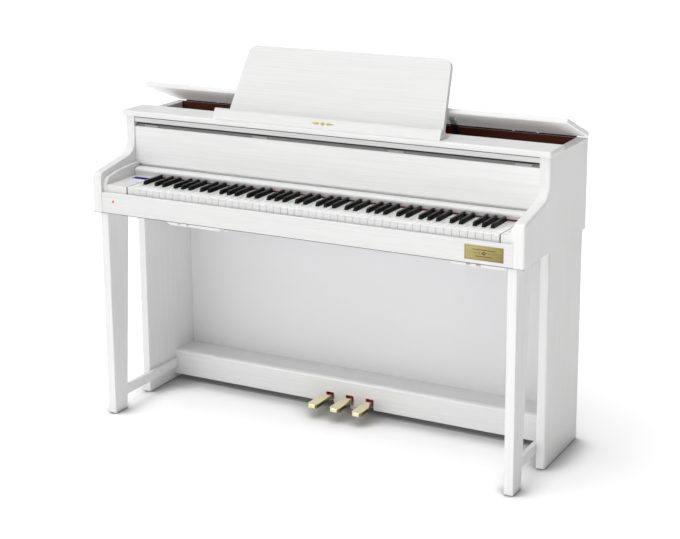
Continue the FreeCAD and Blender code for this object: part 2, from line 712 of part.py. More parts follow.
def make_pedal_frame():
    """Steel plate under the pedals, with the ears and shaft they turn on and their return springs."""
    plate_z = (BOX_BOTTOM_Z, BOX_BOTTOM_Z + 3)
    x = (PEDAL_MIDDLE_X - 120, PEDAL_MIDDLE_X + 120)
    pieces = [block(x, (BOX_FRONT_Y + BOX_T, 226), plate_z)]
    pivot_z = sum(PEDAL_Z) / 2
    for offset in (-1.5, -0.5, 0.5, 1.5):
        middle = PEDAL_MIDDLE_X + offset * PEDAL_SPACING
        ear = [
            (PEDAL_PIVOT_Y - 10, plate_z[1] - 0.5), (PEDAL_PIVOT_Y + 10, plate_z[1] - 0.5),
            (PEDAL_PIVOT_Y + 7, pivot_z + 8, 5), (PEDAL_PIVOT_Y - 7, pivot_z + 8, 5),
        ]
        pieces.append(prism_x(ear, (middle - 1.5, middle + 1.5)))
    shaft_length = 3 * PEDAL_SPACING + 8
    shaft_start = (PEDAL_MIDDLE_X - shaft_length / 2, PEDAL_PIVOT_Y, pivot_z)
    pieces.append(disc(shaft_start, PEDAL_SHAFT_R, shaft_length, (1, 0, 0)))
    springs = []
    for centre in pedal_centres():
        coil = disc((centre, 168, plate_z[1]), 7, 7)
        springs.append(coil.cut(disc((centre, 168, plate_z[1] - 1), 5, 10)))
    save("pedal_frame", fused(pieces + springs))


def pedal_side(centre, side, flare):
    """One long side of a pedal, from its pivot to its toe; flare is how far the toe spreads."""
    neck = centre + side * PEDAL_NECK_W / 2
    toe = neck + side * flare
    points = [(neck, PEDAL_PIVOT_Y - 14)]
    if flare:
        points += [(neck, 98, 40), (toe - side, 66, 30)]
    return points + [(toe, PEDAL_TOE_Y, 11)]


def make_pedals():
    """Brass pedals: a bar on the shaft and a neck through the slot; the outer toes flare outwards."""
    flares = {"left_pedal": (14, 0), "middle_pedal": (7, 7), "right_pedal": (0, 14)}
    pivot_z = sum(PEDAL_Z) / 2
    for (name, (left_flare, right_flare)), centre in zip(flares.items(), pedal_centres()):
        left = pedal_side(centre, -1, left_flare)
        right = pedal_side(centre, 1, right_flare)
        tongue = prism_z(left + right[::-1], PEDAL_Z)
        boss_x = (centre - PEDAL_NECK_W / 2, centre + PEDAL_NECK_W / 2)
        tail = block(boss_x, (PEDAL_PIVOT_Y - 15, PEDAL_PIVOT_Y), PEDAL_Z)
        boss = disc((boss_x[0], PEDAL_PIVOT_Y, pivot_z), 6.5, PEDAL_NECK_W, (1, 0, 0))
        bore = disc((boss_x[0] - 1, PEDAL_PIVOT_Y, pivot_z), PEDAL_BORE_R, PEDAL_NECK_W + 2, (1, 0, 0))
        save(name, fused([tongue, tail, boss]).cut(bore))


def make_height_adjuster():
    """Threaded foot under the pedal frame, turned by hand against the floor."""
    foot = softened(disc((PEDAL_MIDDLE_X, 160, 0), 17, 12), 2, lambda middle, edge: middle.z > 11)
    stem = disc((PEDAL_MIDDLE_X, 160, 11), 4, BOX_BOTTOM_Z - 11 - 0.4)
    save("height_adjuster", fused([foot, stem]))


def make_underside_fittings():
    low = BODY_BOTTOM_Z - UNDER_H
    y = UNDER_Y
    left, right = PHONES_X
    outline = [(left, BODY_BOTTOM_Z), (left + 16, low, 9), (right - 8, low, 2), (right, BODY_BOTTOM_Z)]
    phones = prism_y(outline, y)
    jack_z = BODY_BOTTOM_Z - UNDER_H / 2
    for x in JACK_XS:
        phones = phones.cut(disc((x, y[0] - 1, jack_z), JACK_R, JACK_DEPTH + 1, (0, 1, 0)))
    hook = [(right + 0.5, BODY_BOTTOM_Z), (right + 14, low), (right + 30, BODY_BOTTOM_Z)]
    inner = [(right + 7, BODY_BOTTOM_Z + 1), (right + 14, low + 4), (right + 23, BODY_BOTTOM_Z + 1)]
    hook_y = (-236, -222)
    hanger = prism_y(hook, hook_y).cut(prism_y(inner, (hook_y[0] - 1, hook_y[1] + 1)))
    save("headphone_box", [phones, hanger])
    left, right = PORT_X
    outline = [(left, BODY_BOTTOM_Z), (left + 9, low + 1, 2), (right - 4, low + 1, 2), (right, BODY_BOTTOM_Z)]
    ports = prism_y(outline, y)
    for x in PORT_HOLE_XS:
        wide, high, deep = PORT_HOLE
        hole = block((x, x + wide), (y[0] - 1, y[0] + deep), (jack_z - high / 2, jack_z + high / 2))
        ports = ports.cut(hole)
    save("data_port_box", ports)


os.makedirs("parts", exist_ok=True)
make_side_panels()
make_top_board()
make_top_rail()
make_front_panel()
make_lid()
make_lid_stay()
make_lid_hinges()
make_interior()
make_speakers()
make_music_desk()
make_keys()
make_key_frame()
make_hammers()
make_key_bed()
make_end_blocks()
make_cheeks()
make_key_stop_rail()
make_felts()
make_key_cover()
make_name_plate()
make_backs()
make_mains_inlet()
make_circuit_board()
make_lower_sides()
make_legs()
make_stretchers()
make_glides()
make_screw_caps()
make_pedal_box()
make_pedal_frame()
make_pedals()
make_height_adjuster()
make_underside_fittings()
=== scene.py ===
import math

import bmesh
import bpy
from mathutils import Matrix, Vector


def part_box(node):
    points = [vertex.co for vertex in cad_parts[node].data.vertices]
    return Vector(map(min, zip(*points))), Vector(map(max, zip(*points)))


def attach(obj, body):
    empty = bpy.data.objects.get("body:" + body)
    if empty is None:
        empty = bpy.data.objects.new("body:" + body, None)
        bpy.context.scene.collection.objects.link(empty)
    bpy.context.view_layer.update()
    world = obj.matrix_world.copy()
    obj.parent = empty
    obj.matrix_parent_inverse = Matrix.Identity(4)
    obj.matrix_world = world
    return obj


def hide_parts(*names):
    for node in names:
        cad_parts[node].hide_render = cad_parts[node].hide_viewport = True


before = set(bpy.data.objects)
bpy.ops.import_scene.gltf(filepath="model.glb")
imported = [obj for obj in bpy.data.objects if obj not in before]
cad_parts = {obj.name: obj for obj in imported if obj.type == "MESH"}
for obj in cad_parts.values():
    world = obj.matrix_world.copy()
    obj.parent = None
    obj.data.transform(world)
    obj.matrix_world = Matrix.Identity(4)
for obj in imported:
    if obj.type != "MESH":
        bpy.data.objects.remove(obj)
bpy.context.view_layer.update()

# ---------------------------------------------------------------- sizes, in mm, as in the CAD model

KEY_PITCH = 23.56
KEYS_LEFT = -590.4
KEY_FRONT_Y = -231.5
KEY_HEAD_REAR_Y = -181.5
KEY_TOP_REAR_Y = -86.0
KEY_TOP_Z = 748.7
KEY_HEAD_T = 24.0
KEY_SLIT = 0.5
FRONT_INSET = 0.32
STICK_Z = (716.0, 742.0)
STICK_REAR_Y = 150.0
SHARP_TOP_Z = 760.4
SHARP_W = 10.4
FIRST_KEY = 21
LAST_KEY = 108
OCTAVE = range(60, 72)
NOTE_NAMES = ("c", "c_sharp", "d", "d_sharp", "e", "f", "f_sharp", "g", "g_sharp", "a", "a_sharp", "b")
SHARPS = (1, 3, 6, 8, 10)
NATURALS = (0, 2, 4, 5, 7, 9, 11)
SIDE_IN = 680.0
PANEL_FRONT_Y = -56.0
SLOT_Z = (901.0, 915.0)
PEDAL_CENTRES = {"left_pedal": -81.0, "middle_pedal": -10.0, "right_pedal": 61.0}
PEDAL_FLARES = {"left_pedal": (14, 0), "middle_pedal": (7, 7), "right_pedal": (0, 14)}
PEDAL_NECK_W = 23.0
PEDAL_TOE_Y = 8.0
PEDAL_Z = (36.0, 49.0)
PEDAL_PIVOT_Y = 212.0
SPEAKER_XS = (-430.0, 430.0)
SPEAKER_Y = 137.0
SHELF_TOP_Z = 893.0
HINGE_XS = (-520.0, 0.0, 520.0)
LID_AXIS = (239.5, 939.0)
BACK_REAR_Y = 240.0
BLOCK_TOP_Z = 749.0
SLIP_FRONT_Y = -243.7
ARM_OUT = 711.4
UNDERSIDE_Z = (660.5, 661.9)
BAND_REAR_Y = -238.6
LEDGE_FOOT = (-70.0, 952.0)
LEDGE_CREST = (-52.0, 984.0)
JACK_XS = (-400.0, -370.0)
JACK_Z = 656.25
DATA_PORT_XS = (540.0, 570.0)
KEY_TOP_T = 2.4
EASED = 0.3


# ---------------------------------------------------------------- mesh helpers

def point(x, y, z):
    return Vector((x, y, z)) / 1000


def rounded(corners, steps=6):
    """The corners of an outline; a corner (a, b, r) becomes an arc of radius r."""
    points = []
    for index, corner in enumerate(corners):
        here = Vector(corner[:2])
        if len(corner) < 3:
            points.append(here)
            continue
        back = (Vector(corners[index - 1][:2]) - here).normalized()
        ahead = (Vector(corners[(index + 1) % len(corners)][:2]) - here).normalized()
        half = back.angle(ahead) / 2
        reach = corner[2] / math.tan(half)
        centre = here + (back + ahead).normalized() * (corner[2] / math.sin(half))
        start = here + back * reach - centre
        turn = start.angle_signed(here + ahead * reach - centre)
        for step in range(steps + 1):
            points.append(centre + Matrix.Rotation(-turn * step / steps, 2) @ start)
    return points


def place(axis, a, b, along):
    if axis == "x":
        return point(along, a, b)
    if axis == "y":
        return point(a, along, b)
    return point(a, b, along)


def soften(shape, width, segments=2, wanted=None):
    """Rounds the sharp edges of a shape; width in mm."""
    shape.normal_update()
    edges = [e for e in shape.edges if len(e.link_faces) == 2 and e.calc_face_angle(0) > 0.5]
    if wanted:
        edges = [e for e in edges if wanted(e)]
    bmesh.ops.bevel(
        shape, geom=edges, offset=width / 1000, segments=segments, profile=0.5,
        affect="EDGES", clamp_overlap=True,
    )
    return shape


def slab(corners, axis, span, edge=0.0, segments=2, steps=6):
    """An outline pushed along an axis, with softened edges."""
    shape = bmesh.new()
    outline = rounded(corners, steps)
    near = [shape.verts.new(place(axis, p.x, p.y, span[0])) for p in outline]
    far = [shape.verts.new(place(axis, p.x, p.y, span[1])) for p in outline]
    shape.faces.new(near)
    shape.faces.new(far[::-1])
    for index in range(len(outline)):
        following = (index + 1) % len(outline)
        shape.faces.new((near[index], far[index], far[following], near[following]))
    bmesh.ops.recalc_face_normals(shape, faces=shape.faces)
    return soften(shape, edge, segments) if edge else shape


def bar(x, y, z, edge=0.0, segments=2):
    corners = [(x[0], y[0]), (x[1], y[0]), (x[1], y[1]), (x[0], y[1])]
    return slab(corners, "z", z, edge, segments)


def turned(profile, centre, direction=(0, 0, 1), steps=40, flutes=0, depth=0.0):
    """A closed solid of revolution from (radius, height) stops; flutes cut its outline."""
    shape = bmesh.new()
    spin = Vector((0, 0, 1)).rotation_difference(Vector(direction)).to_matrix()
    origin = point(*centre)
    rings = []
    for radius, height in profile:
        ring = []
        for step in range(steps):
            angle = 2 * math.pi * step / steps
            notch = depth * (0.5 + 0.5 * math.cos(flutes * angle)) if flutes else 0.0
            reach = max(radius - notch, 0.01)
            offset = point(reach * math.cos(angle), reach * math.sin(angle), height)
            ring.append(shape.verts.new(origin + spin @ offset))
        rings.append(ring)
    for low, high in zip(rings, rings[1:]):
        for step in range(steps):
            following = (step + 1) % steps
            shape.faces.new((low[step], low[following], high[following], high[step]))
    shape.faces.new(rings[0][::-1])
    shape.faces.new(rings[-1])
    bmesh.ops.recalc_face_normals(shape, faces=shape.faces)
    return shape


def moved(shape, matrix):
    bmesh.ops.transform(shape, matrix=matrix, verts=shape.verts)
    return shape


def piece(name, body, shapes, nodes=()):
    """One object from (shape, material) pairs, riding on a body."""
    mesh = bpy.data.meshes.new(name)
    whole = bmesh.new()
    for shape, material in shapes:
        if material.name not in mesh.materials:
            mesh.materials.append(material)
        index = mesh.materials.find(material.name)
        for face in shape.faces:
            face.material_index = index
        part = bpy.data.meshes.new("part")
        shape.to_mesh(part)
        shape.free()
        whole.from_mesh(part)
        bpy.data.meshes.remove(part)
    whole.to_mesh(mesh)
    whole.free()
    mesh.shade_smooth()
    mesh.set_sharp_from_angle(angle=math.radians(32))
    thing = bpy.data.objects.new(name, mesh)
    bpy.context.collection.objects.link(thing)
    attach(thing, body)
    if nodes:
        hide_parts(*nodes)
    return thing


# ---------------------------------------------------------------- materials

class Finish:
    """A material being built: its nodes, links and shader."""

    def __init__(self, name, **values):
        self.material = bpy.data.materials.new(name)
        self.material.use_nodes = True
        self.tree = self.material.node_tree
        self.shader = self.tree.nodes["Principled BSDF"]
        for socket, value in values.items():
            self.shader.inputs[socket.replace("_", " ")].default_value = value
        self.spot = self.add("ShaderNodeTexCoord").outputs["Object"]

    def add(self, kind, inputs=None, **settings):
        node = self.tree.nodes.new(kind)
        for key, value in settings.items():
            setattr(node, key, value)
        for socket, value in (inputs or {}).items():
            if isinstance(value, bpy.types.NodeSocket):
                self.tree.links.new(value, node.inputs[socket])
            else:
                node.inputs[socket].default_value = value
        return node

    def noise(self, scale, detail=4.0, stretch=(1, 1, 1), rough=0.55):
        stretched = self.add("ShaderNodeMapping", {"Vector": self.spot, "Scale": stretch})
        inputs = {"Vector": stretched.outputs[0], "Scale": scale, "Detail": detail, "Roughness": rough}
        return self.add("ShaderNodeTexNoise", inputs).outputs[0]

    def ramp(self, value, low, high, to_low=0.0, to_high=1.0):
        inputs = {"Value": value, "From Min": low, "From Max": high, "To Min": to_low, "To Max": to_high}
        return self.add("ShaderNodeMapRange", inputs).outputs[0]

    def mix(self, share, first, second):
        node = self.add("ShaderNodeMix", data_type="RGBA")
        for socket, value in ((0, share), (6, first), (7, second)):
            if isinstance(value, bpy.types.NodeSocket):
                self.tree.links.new(value, node.inputs[socket])
            elif socket:
                node.inputs[socket].default_value = (*value, 1.0)
            else:
                node.inputs[socket].default_value = value
        return node.outputs[2]

    def join(self, operation, first, second):
        return self.add("ShaderNodeMath", {0: first, 1: second}, operation=operation).outputs[0]

    def bump(self, height, strength, distance):
        inputs = {"Height": height, "Strength": strength, "Distance": distance}
        self.feed("Normal", self.add("ShaderNodeBump", inputs).outputs[0])

    def feed(self, socket, value):
        self.tree.links.new(value, self.shader.inputs[socket])


GRAIN_STRETCH = {"x": (0.03, 1, 1), "y": (1, 0.03, 1), "z": (1, 1, 0.03)}
FINE_STRETCH = {"x": (0.018, 1, 1), "y": (1, 0.018, 1), "z": (1, 1, 0.018)}


def painted_wood(name, along, light=0.82, dark=0.765, relief=0.3, painted_light_above=None,
                 above=(0.34, 0.34, 0.34)):
    """White satin lacquer over open-grained wood; above the height given, in metres, it takes another
    colour as painted light: painted shade where darker, painted highlight where lighter.
    """
    finish = Finish(name, Roughness=0.4, Specular_IOR_Level=0.4, Coat_Weight=0.12, Coat_Roughness=0.3)
    stretch = FINE_STRETCH[along]
    bands = finish.ramp(finish.noise(60, 4, stretch, 0.5), 0.34, 0.66)
    streaks = finish.ramp(finish.noise(210, 3, stretch, 0.55), 0.40, 0.60)
    lines = finish.ramp(finish.noise(480, 2, stretch, 0.6), 0.42, 0.62)
    share = finish.join("ADD", finish.join("MULTIPLY", bands, 0.22), finish.join("MULTIPLY", streaks, 0.55))
    share = finish.join("ADD", share, finish.join("MULTIPLY", lines, 0.23))
    tint = finish.mix(share, (dark, dark, dark * 0.993), (light, light, light * 0.996))
    # Painted light: above this height the given colour replaces the lacquer, darker as painted shade,
    # lighter as painted highlight.
    if painted_light_above:
        height = finish.add("ShaderNodeSeparateXYZ", {0: finish.spot}).outputs[2]
        edge = finish.ramp(height, painted_light_above - 0.0005, painted_light_above + 0.0005)
        tint = finish.mix(edge, tint, above)
    finish.feed("Base Color", tint)
    finish.feed("Roughness", finish.ramp(finish.noise(9, 3), 0.3, 0.7, 0.34, 0.46))
    finish.bump(share, relief, 0.0003)
    return finish.material


def painted_board(name, light, dark, edge_height=2.0):
    """Smooth grey-white board, finely pebbled; above edge_height, in metres, its edge turns dark brown."""
    finish = Finish(name, Roughness=0.5, Specular_IOR_Level=0.35)
    mottle = finish.ramp(finish.noise(700, 2), 0.35, 0.65)
    cloud = finish.ramp(finish.noise(2.2, 3), 0.3, 0.7)
    share = finish.join("ADD", finish.join("MULTIPLY", mottle, 0.5), finish.join("MULTIPLY", cloud, 0.5))
    height = finish.add("ShaderNodeSeparateXYZ", {0: finish.spot}).outputs[2]
    edge = finish.ramp(height, edge_height - 0.0002, edge_height + 0.0002)
    finish.feed("Base Color", finish.mix(edge, finish.mix(share, dark, light), (0.05, 0.012, 0.006)))
    finish.feed("Roughness", finish.ramp(mottle, 0, 1, 0.45, 0.58))
    finish.bump(mottle, 0.15, 0.0002)
    return finish.material


def stained_wood(name, dark, light, along="x", rough=0.5):
    """Open-pored wood, stained or left raw."""
    finish = Finish(name, Roughness=rough, Specular_IOR_Level=0.3)
    stretch = GRAIN_STRETCH[along]
    bands = finish.ramp(finish.noise(38, 6, stretch, 0.65), 0.3, 0.7)
    pores = finish.ramp(finish.noise(500, 2, stretch), 0.4, 0.62)
    share = finish.join("MULTIPLY", bands, finish.ramp(pores, 0, 1, 0.6, 1.0))
    finish.feed("Base Color", finish.mix(share, dark, light))
    finish.feed("Roughness", finish.ramp(pores, 0, 1, rough - 0.05, rough + 0.12))
    finish.bump(pores, 0.3, 0.0003)
    return finish.material


def key_top(name):
    """Moulded key tops that feel like ivory: fine striations along the key."""
    finish = Finish(name, Roughness=0.3, Specular_IOR_Level=0.5, Coat_Weight=0.25, Coat_Roughness=0.12)
    lines = finish.ramp(finish.noise(260, 2, (1, 0.05, 1)), 0.35, 0.65)
    patches = finish.ramp(finish.noise(30, 2), 0.35, 0.7)
    finish.feed("Base Color", finish.mix(lines, (0.82, 0.82, 0.81), (0.835, 0.835, 0.828)))
    finish.feed("Roughness", finish.ramp(patches, 0, 1, 0.22, 0.38))
    finish.bump(lines, 0.05, 0.0001)
    return finish.material


def sharp_top(name):
    """Matt black, grained like ebony."""
    finish = Finish(name, Roughness=0.34, Specular_IOR_Level=0.15)
    lines = finish.ramp(finish.noise(420, 4, (1, 0.05, 1)), 0.38, 0.64)
    finish.feed("Base Color", finish.mix(lines, (0.002, 0.002, 0.002), (0.008, 0.008, 0.009)))
    finish.feed("Roughness", finish.ramp(lines, 0, 1, 0.26, 0.4))
    finish.bump(lines, 0.25, 0.0002)
    return finish.material


def polished_brass(name, colour, deep, rough, brushed=None, fade=None):
    """Brass, polished or brushed along an axis; across fade, two places on the x axis, a painted shade
    darkens it.
    """
    finish = Finish(name, Metallic=1.0, Roughness=rough)
    stretch = GRAIN_STRETCH[brushed] if brushed else (1, 1, 1)
    marks = finish.ramp(finish.noise(900 if brushed else 160, 4, stretch), 0.35, 0.66)
    tarnish = finish.ramp(finish.noise(14, 4), 0.35, 0.75)
    share = finish.join("ADD", finish.join("MULTIPLY", marks, 0.5), finish.join("MULTIPLY", tarnish, 0.5))
    tint = finish.mix(share, deep, colour)
    # Painted shade: the brass darkens towards the far end of the fade.
    if fade:
        across = finish.add("ShaderNodeSeparateXYZ", {0: finish.spot}).outputs[0]
        tint = finish.mix(finish.ramp(across, *fade), tint, tuple(c * 0.45 for c in deep))
    finish.feed("Base Color", tint)
    finish.feed("Roughness", finish.ramp(share, 0, 1, rough + 0.1, rough - 0.04))
    finish.bump(marks, 0.25 if brushed else 0.06, 0.0002)
    return finish.material


def plain_metal(name, colour, rough):
    """Steel with faint handling marks."""
    finish = Finish(name, Metallic=1.0, Roughness=rough)
    marks = finish.ramp(finish.noise(300, 4), 0.35, 0.7)
    worn = tuple(min(1.0, c * 1.25) for c in colour)
    finish.feed("Base Color", finish.mix(marks, colour, worn))
    finish.feed("Roughness", finish.ramp(marks, 0, 1, rough + 0.08, rough - 0.05))
    finish.bump(marks, 0.1, 0.0001)
    return finish.material


def moulded(name, colour, rough=0.45, grain=500, relief=0.2, mottle=0.86):
    """Moulded plastic with a fine sparked surface."""
    finish = Finish(name, Roughness=rough, Specular_IOR_Level=0.45)
    pits = finish.ramp(finish.noise(grain, 3), 0.35, 0.68)
    shade = tuple(c * mottle for c in colour)
    finish.feed("Base Color", finish.mix(pits, shade, colour))
    finish.feed("Roughness", finish.ramp(pits, 0, 1, rough - 0.06, rough + 0.08))
    finish.bump(pits, relief, 0.0002)
    return finish.material


def two_tone(name, low_colour, high_colour, height):
    """Painted steel, one colour below a height and another above it; on the lid stay the black below is its
    paint and the grey above is painted light.
    """
    finish = Finish(name, Roughness=0.5, Specular_IOR_Level=0.3)
    level = finish.add("ShaderNodeSeparateXYZ", {0: finish.spot}).outputs[2]
    share = finish.ramp(level, height - 0.001, height + 0.001)
    pits = finish.ramp(finish.noise(500, 3), 0.35, 0.68)
    finish.feed("Base Color", finish.mix(share, low_colour, high_colour))
    finish.feed("Roughness", finish.ramp(pits, 0, 1, 0.42, 0.56))
    finish.bump(pits, 0.15, 0.0002)
    return finish.material


def felt(name, colour, low_colour):
    """Red felt; the bushings low down at the pedals are painted a brighter red, painted light for felt that
    sits in shade.
    """
    finish = Finish(name, Roughness=0.95, Specular_IOR_Level=0.1, Sheen_Weight=0.5)
    fibres = finish.ramp(finish.noise(1400, 5, (1, 1, 1), 0.7), 0.3, 0.7)
    shade = tuple(c * 0.55 for c in colour)
    height = finish.add("ShaderNodeSeparateXYZ", {0: finish.spot}).outputs[2]
    # Below 0.3 m the felt takes the brighter red: painted light.
    tint = finish.mix(finish.ramp(height, 0.30, 0.31), low_colour, finish.mix(fibres, shade, colour))
    finish.feed("Base Color", tint)
    finish.bump(fibres, 0.8, 0.0005)
    return finish.material


def cloth(name, colour):
    """Woven loudspeaker cloth."""
    finish = Finish(name, Roughness=0.9, Specular_IOR_Level=0.15)
    first = finish.add("ShaderNodeTexWave", {"Vector": finish.spot, "Scale": 420.0}, bands_direction="X")
    second = finish.add("ShaderNodeTexWave", {"Vector": finish.spot, "Scale": 420.0}, bands_direction="Z")
    weave = finish.join("MULTIPLY", first.outputs[1], second.outputs[1])
    shade = tuple(c * 0.5 for c in colour)
    finish.feed("Base Color", finish.mix(weave, shade, colour))
    finish.bump(weave, 0.5, 0.0003)
    return finish.material


def glowing(name, colour, strength, rough=0.3, gloss=0.1):
    """A lit window or lamp."""
    finish = Finish(name, Roughness=rough, Emission_Strength=strength, Specular_IOR_Level=gloss)
    speck = finish.ramp(finish.noise(900, 2), 0.3, 0.7)
    shade = tuple(c * 0.75 for c in colour)
    tint = finish.mix(speck, shade, colour)
    finish.feed("Base Color", tint)
    finish.feed("Emission Color", tint)
    return finish.material


WOOD_X = painted_wood("white_lacquer_grain_x", "x")
# A darker copy of the lacquer for the desk, ledge and key slip: painted shade, as they stand in more light
# than the panel.
WOOD_X_PAINTED_SHADE = painted_wood("white_lacquer_painted_shade", "x", 0.755, 0.70)
# A darker copy of the lacquer for the rail: painted shade under the top board's overhang.
RAIL_WOOD_PAINTED_SHADE = painted_wood("white_lacquer_rail_painted_shade", "x", 0.74, 0.68)
# A lighter copy of the lacquer for the recessed front panel, painted light; above 901.2 mm its top strip is
# dark grey, painted shade in the slot.
PANEL_WOOD_PAINTED_LIGHT_AND_SHADE = painted_wood("white_lacquer_panel_painted_light_and_shade", "x", 0.87, 0.81, painted_light_above=0.9012)
# Above 96.2 mm the box front is near white: a painted highlight along its top arris.
PEDAL_BOX_WOOD_PAINTED_HIGHLIGHT = painted_wood(
    "white_lacquer_box_painted_highlight", "x", painted_light_above=0.0962, above=(0.96, 0.96, 0.96),
)
WOOD_Y = painted_wood("white_lacquer_grain_y", "y")
WOOD_Z = painted_wood("white_lacquer_grain_z", "z")
GREY_BOARD = painted_board("pale_grey_board", (0.78, 0.78, 0.79), (0.74, 0.74, 0.75))
UPPER_BOARD = painted_board("pale_grey_board_brown_top_edge", (0.78, 0.78, 0.79), (0.74, 0.74, 0.75), 0.9345)
BROWN_BOARD = stained_wood("red_brown_board", (0.09, 0.015, 0.0065), (0.14, 0.026, 0.011))
RAW_WOOD = stained_wood("spruce_key_wood", (0.55, 0.38, 0.2), (0.76, 0.6, 0.38), "y", 0.6)
PLYWOOD = stained_wood("beech_ply", (0.5, 0.36, 0.2), (0.68, 0.53, 0.34), "x", 0.65)
IVORY = key_top("ivory_key_top")
# The key heads' fronts and sides are a darker white than the tops: painted shade on the upright faces.
KEY_FRONT = moulded("key_front_plate_painted_shade", (0.70, 0.70, 0.705), 0.4, 300, 0.1, 0.96)
EBONY = sharp_top("ebony_key_top")
PEDAL_BRASS = polished_brass("polished_brass", (0.96, 0.90, 0.62), (0.90, 0.82, 0.50), 0.13)
# Dark brass for the pedals' sideways faces: painted shade and painted reflection of dark surroundings.
PEDAL_BRASS_PAINTED_SHADE = polished_brass("brass_painted_side_shade", (0.33, 0.28, 0.09), (0.20, 0.16, 0.045), 0.2)
# Brushed brass for the plate, with a painted shade that darkens it towards the right.
PLATE_BRASS_PAINTED_SHADE = polished_brass(
    "brushed_brass_painted_shade", (0.56, 0.48, 0.22), (0.42, 0.35, 0.13), 0.3, "x", (0.50, 0.72),
)
ENGRAVING = moulded("engraving_fill", (0.05, 0.035, 0.02), 0.6)
GOLD = polished_brass("gilt_inlay", (0.68, 0.56, 0.22), (0.46, 0.36, 0.10), 0.25)
RED_FELT_PAINTED_LIGHT = felt("red_felt", (0.20, 0.008, 0.012), (0.62, 0.008, 0.014))
GREY_CLOTH = cloth("grey_slot_cloth", (0.42, 0.42, 0.425))
# The slot cloth again, much darker: painted shade under the rail.
SLOT_CLOTH_PAINTED_SHADE = cloth("slot_cloth_painted_shade", (0.12, 0.12, 0.122))
# Dark grey for the bands of painted shadow and the dark joints.
SHADOW_GAP = moulded("grey_painted_shadow_and_joint_band", (0.13, 0.13, 0.132), 0.7, 400, 0.2)
STEEL = plain_metal("zinc_steel", (0.52, 0.53, 0.55), 0.32)
DARK_STEEL = plain_metal("blackened_steel", (0.10, 0.10, 0.105), 0.4)
BLACK_PLASTIC = moulded("black_plastic", (0.025, 0.025, 0.027), 0.45)
WHITE_PLASTIC = moulded("white_plastic", (0.78, 0.78, 0.777), 0.38, 700, 0.12, 0.95)
# A brighter copy of the white plastic for the boxes under the key slip: painted light in their shade.
WHITE_PLASTIC_PAINTED_LIGHT = moulded("white_plastic_painted_light", (0.88, 0.88, 0.88), 0.38, 700, 0.12, 0.95)
GREY_PLASTIC = moulded("grey_plastic", (0.55, 0.55, 0.56), 0.5)
# The stay is black; its grey part above 966 mm is painted light.
STAY_PAINTED_LIGHT_TWO_TONE = two_tone("stay_black_painted_light", (0.012, 0.012, 0.013), (0.40, 0.40, 0.405), 0.966)
SCREEN = glowing("lit_blue_screen", (0.008, 0.0, 0.16), 0.55, 0.5, 0.02)
RED_LAMP = glowing("red_lamp", (0.95, 0.0, 0.0), 0.9, 0.5, 0.0)
PRINT = moulded("panel_print", (0.42, 0.36, 0.33), 0.6)
CONE_PAPER = moulded("cone_paper", (0.035, 0.033, 0.03), 0.85, 260, 0.7)
RUBBER = moulded("cone_surround", (0.015, 0.015, 0.016), 0.55, 400, 0.3)
CIRCUIT = moulded("green_circuit_board", (0.02, 0.16, 0.07), 0.35, 300, 0.2)


# ---------------------------------------------------------------- the CAD nodes keep their shape

CAD_FINISHES = {
    "top_board": WOOD_X, "top_rail": RAIL_WOOD_PAINTED_SHADE, "front_panel": PANEL_WOOD_PAINTED_LIGHT_AND_SHADE, "lid": WOOD_X,
    "music_desk": WOOD_X_PAINTED_SHADE, "music_ledge": WOOD_X_PAINTED_SHADE, "key_slip": WOOD_X_PAINTED_SHADE,
    "key_cover": WOOD_X,
    "key_stop_rail": WOOD_X, "pedal_box_front": PEDAL_BOX_WOOD_PAINTED_HIGHLIGHT, "pedal_box_top": WOOD_X,
    "right_side_panel": WOOD_Z, "left_side_panel": WOOD_Z, "right_lower_panel": WOOD_Z,
    "left_lower_panel": WOOD_Z, "right_front_leg": WOOD_Z, "left_front_leg": WOOD_Z,
    "inner_cheeks": WOOD_Y, "leg_stretchers": WOOD_Y, "left_control_block": WHITE_PLASTIC,
    "right_end_block": WHITE_PLASTIC, "headphone_box": WHITE_PLASTIC_PAINTED_LIGHT, "data_port_box": WHITE_PLASTIC_PAINTED_LIGHT,
    "screw_caps": WHITE_PLASTIC, "lower_back_board": GREY_BOARD, "upper_back_board": UPPER_BOARD,
    "inner_back_board": BROWN_BOARD, "speaker_shelf": BROWN_BOARD, "key_bed": GREY_BOARD,
    "key_frame": PLYWOOD, "red_felts": RED_FELT_PAINTED_LIGHT, "lid_stay": STAY_PAINTED_LIGHT_TWO_TONE,
    "lid_hinges": STEEL, "hammer_action": DARK_STEEL, "pedal_frame": STEEL,
    "mains_inlet": BLACK_PLASTIC, "circuit_board": CIRCUIT, "floor_glides": BLACK_PLASTIC,
    "height_adjuster": WHITE_PLASTIC,
}
SHARP_CORNERED = (
    "top_board", "top_rail", "front_panel", "lid", "music_desk", "music_ledge", "key_slip",
    "key_cover", "pedal_box_front", "pedal_box_top", "right_side_panel", "left_side_panel",
    "right_lower_panel", "left_lower_panel", "right_front_leg", "left_front_leg", "inner_cheeks",
    "leg_stretchers", "left_control_block", "right_end_block", "headphone_box", "data_port_box",
    "screw_caps", "lower_back_board", "upper_back_board", "lid_stay", "lid_hinges",
)


# metres, like everything that a modifier takes
ARRIS = 0.0009
WIDE_ARRIS = {"pedal_box_front": 0.003, "key_slip": 0.0015, "music_desk": 0.0015}
WELD_REACH = 0.00002


def dress_cad_nodes():
    """Gives the CAD nodes their materials, and breaks the sharp arrises of the joinery."""
    for name, material in CAD_FINISHES.items():
        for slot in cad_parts[name].material_slots:
            slot.material = material
    for name in SHARP_CORNERED:
        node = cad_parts[name]
        weld = node.modifiers.new("weld", "WELD")
        weld.merge_threshold = WELD_REACH
        arris = node.modifiers.new("arris", "BEVEL")
        arris.width = WIDE_ARRIS.get(name, ARRIS)
        arris.segments = 2
        arris.limit_method = "ANGLE"
        arris.angle_limit = math.radians(40)
        arris.harden_normals = True


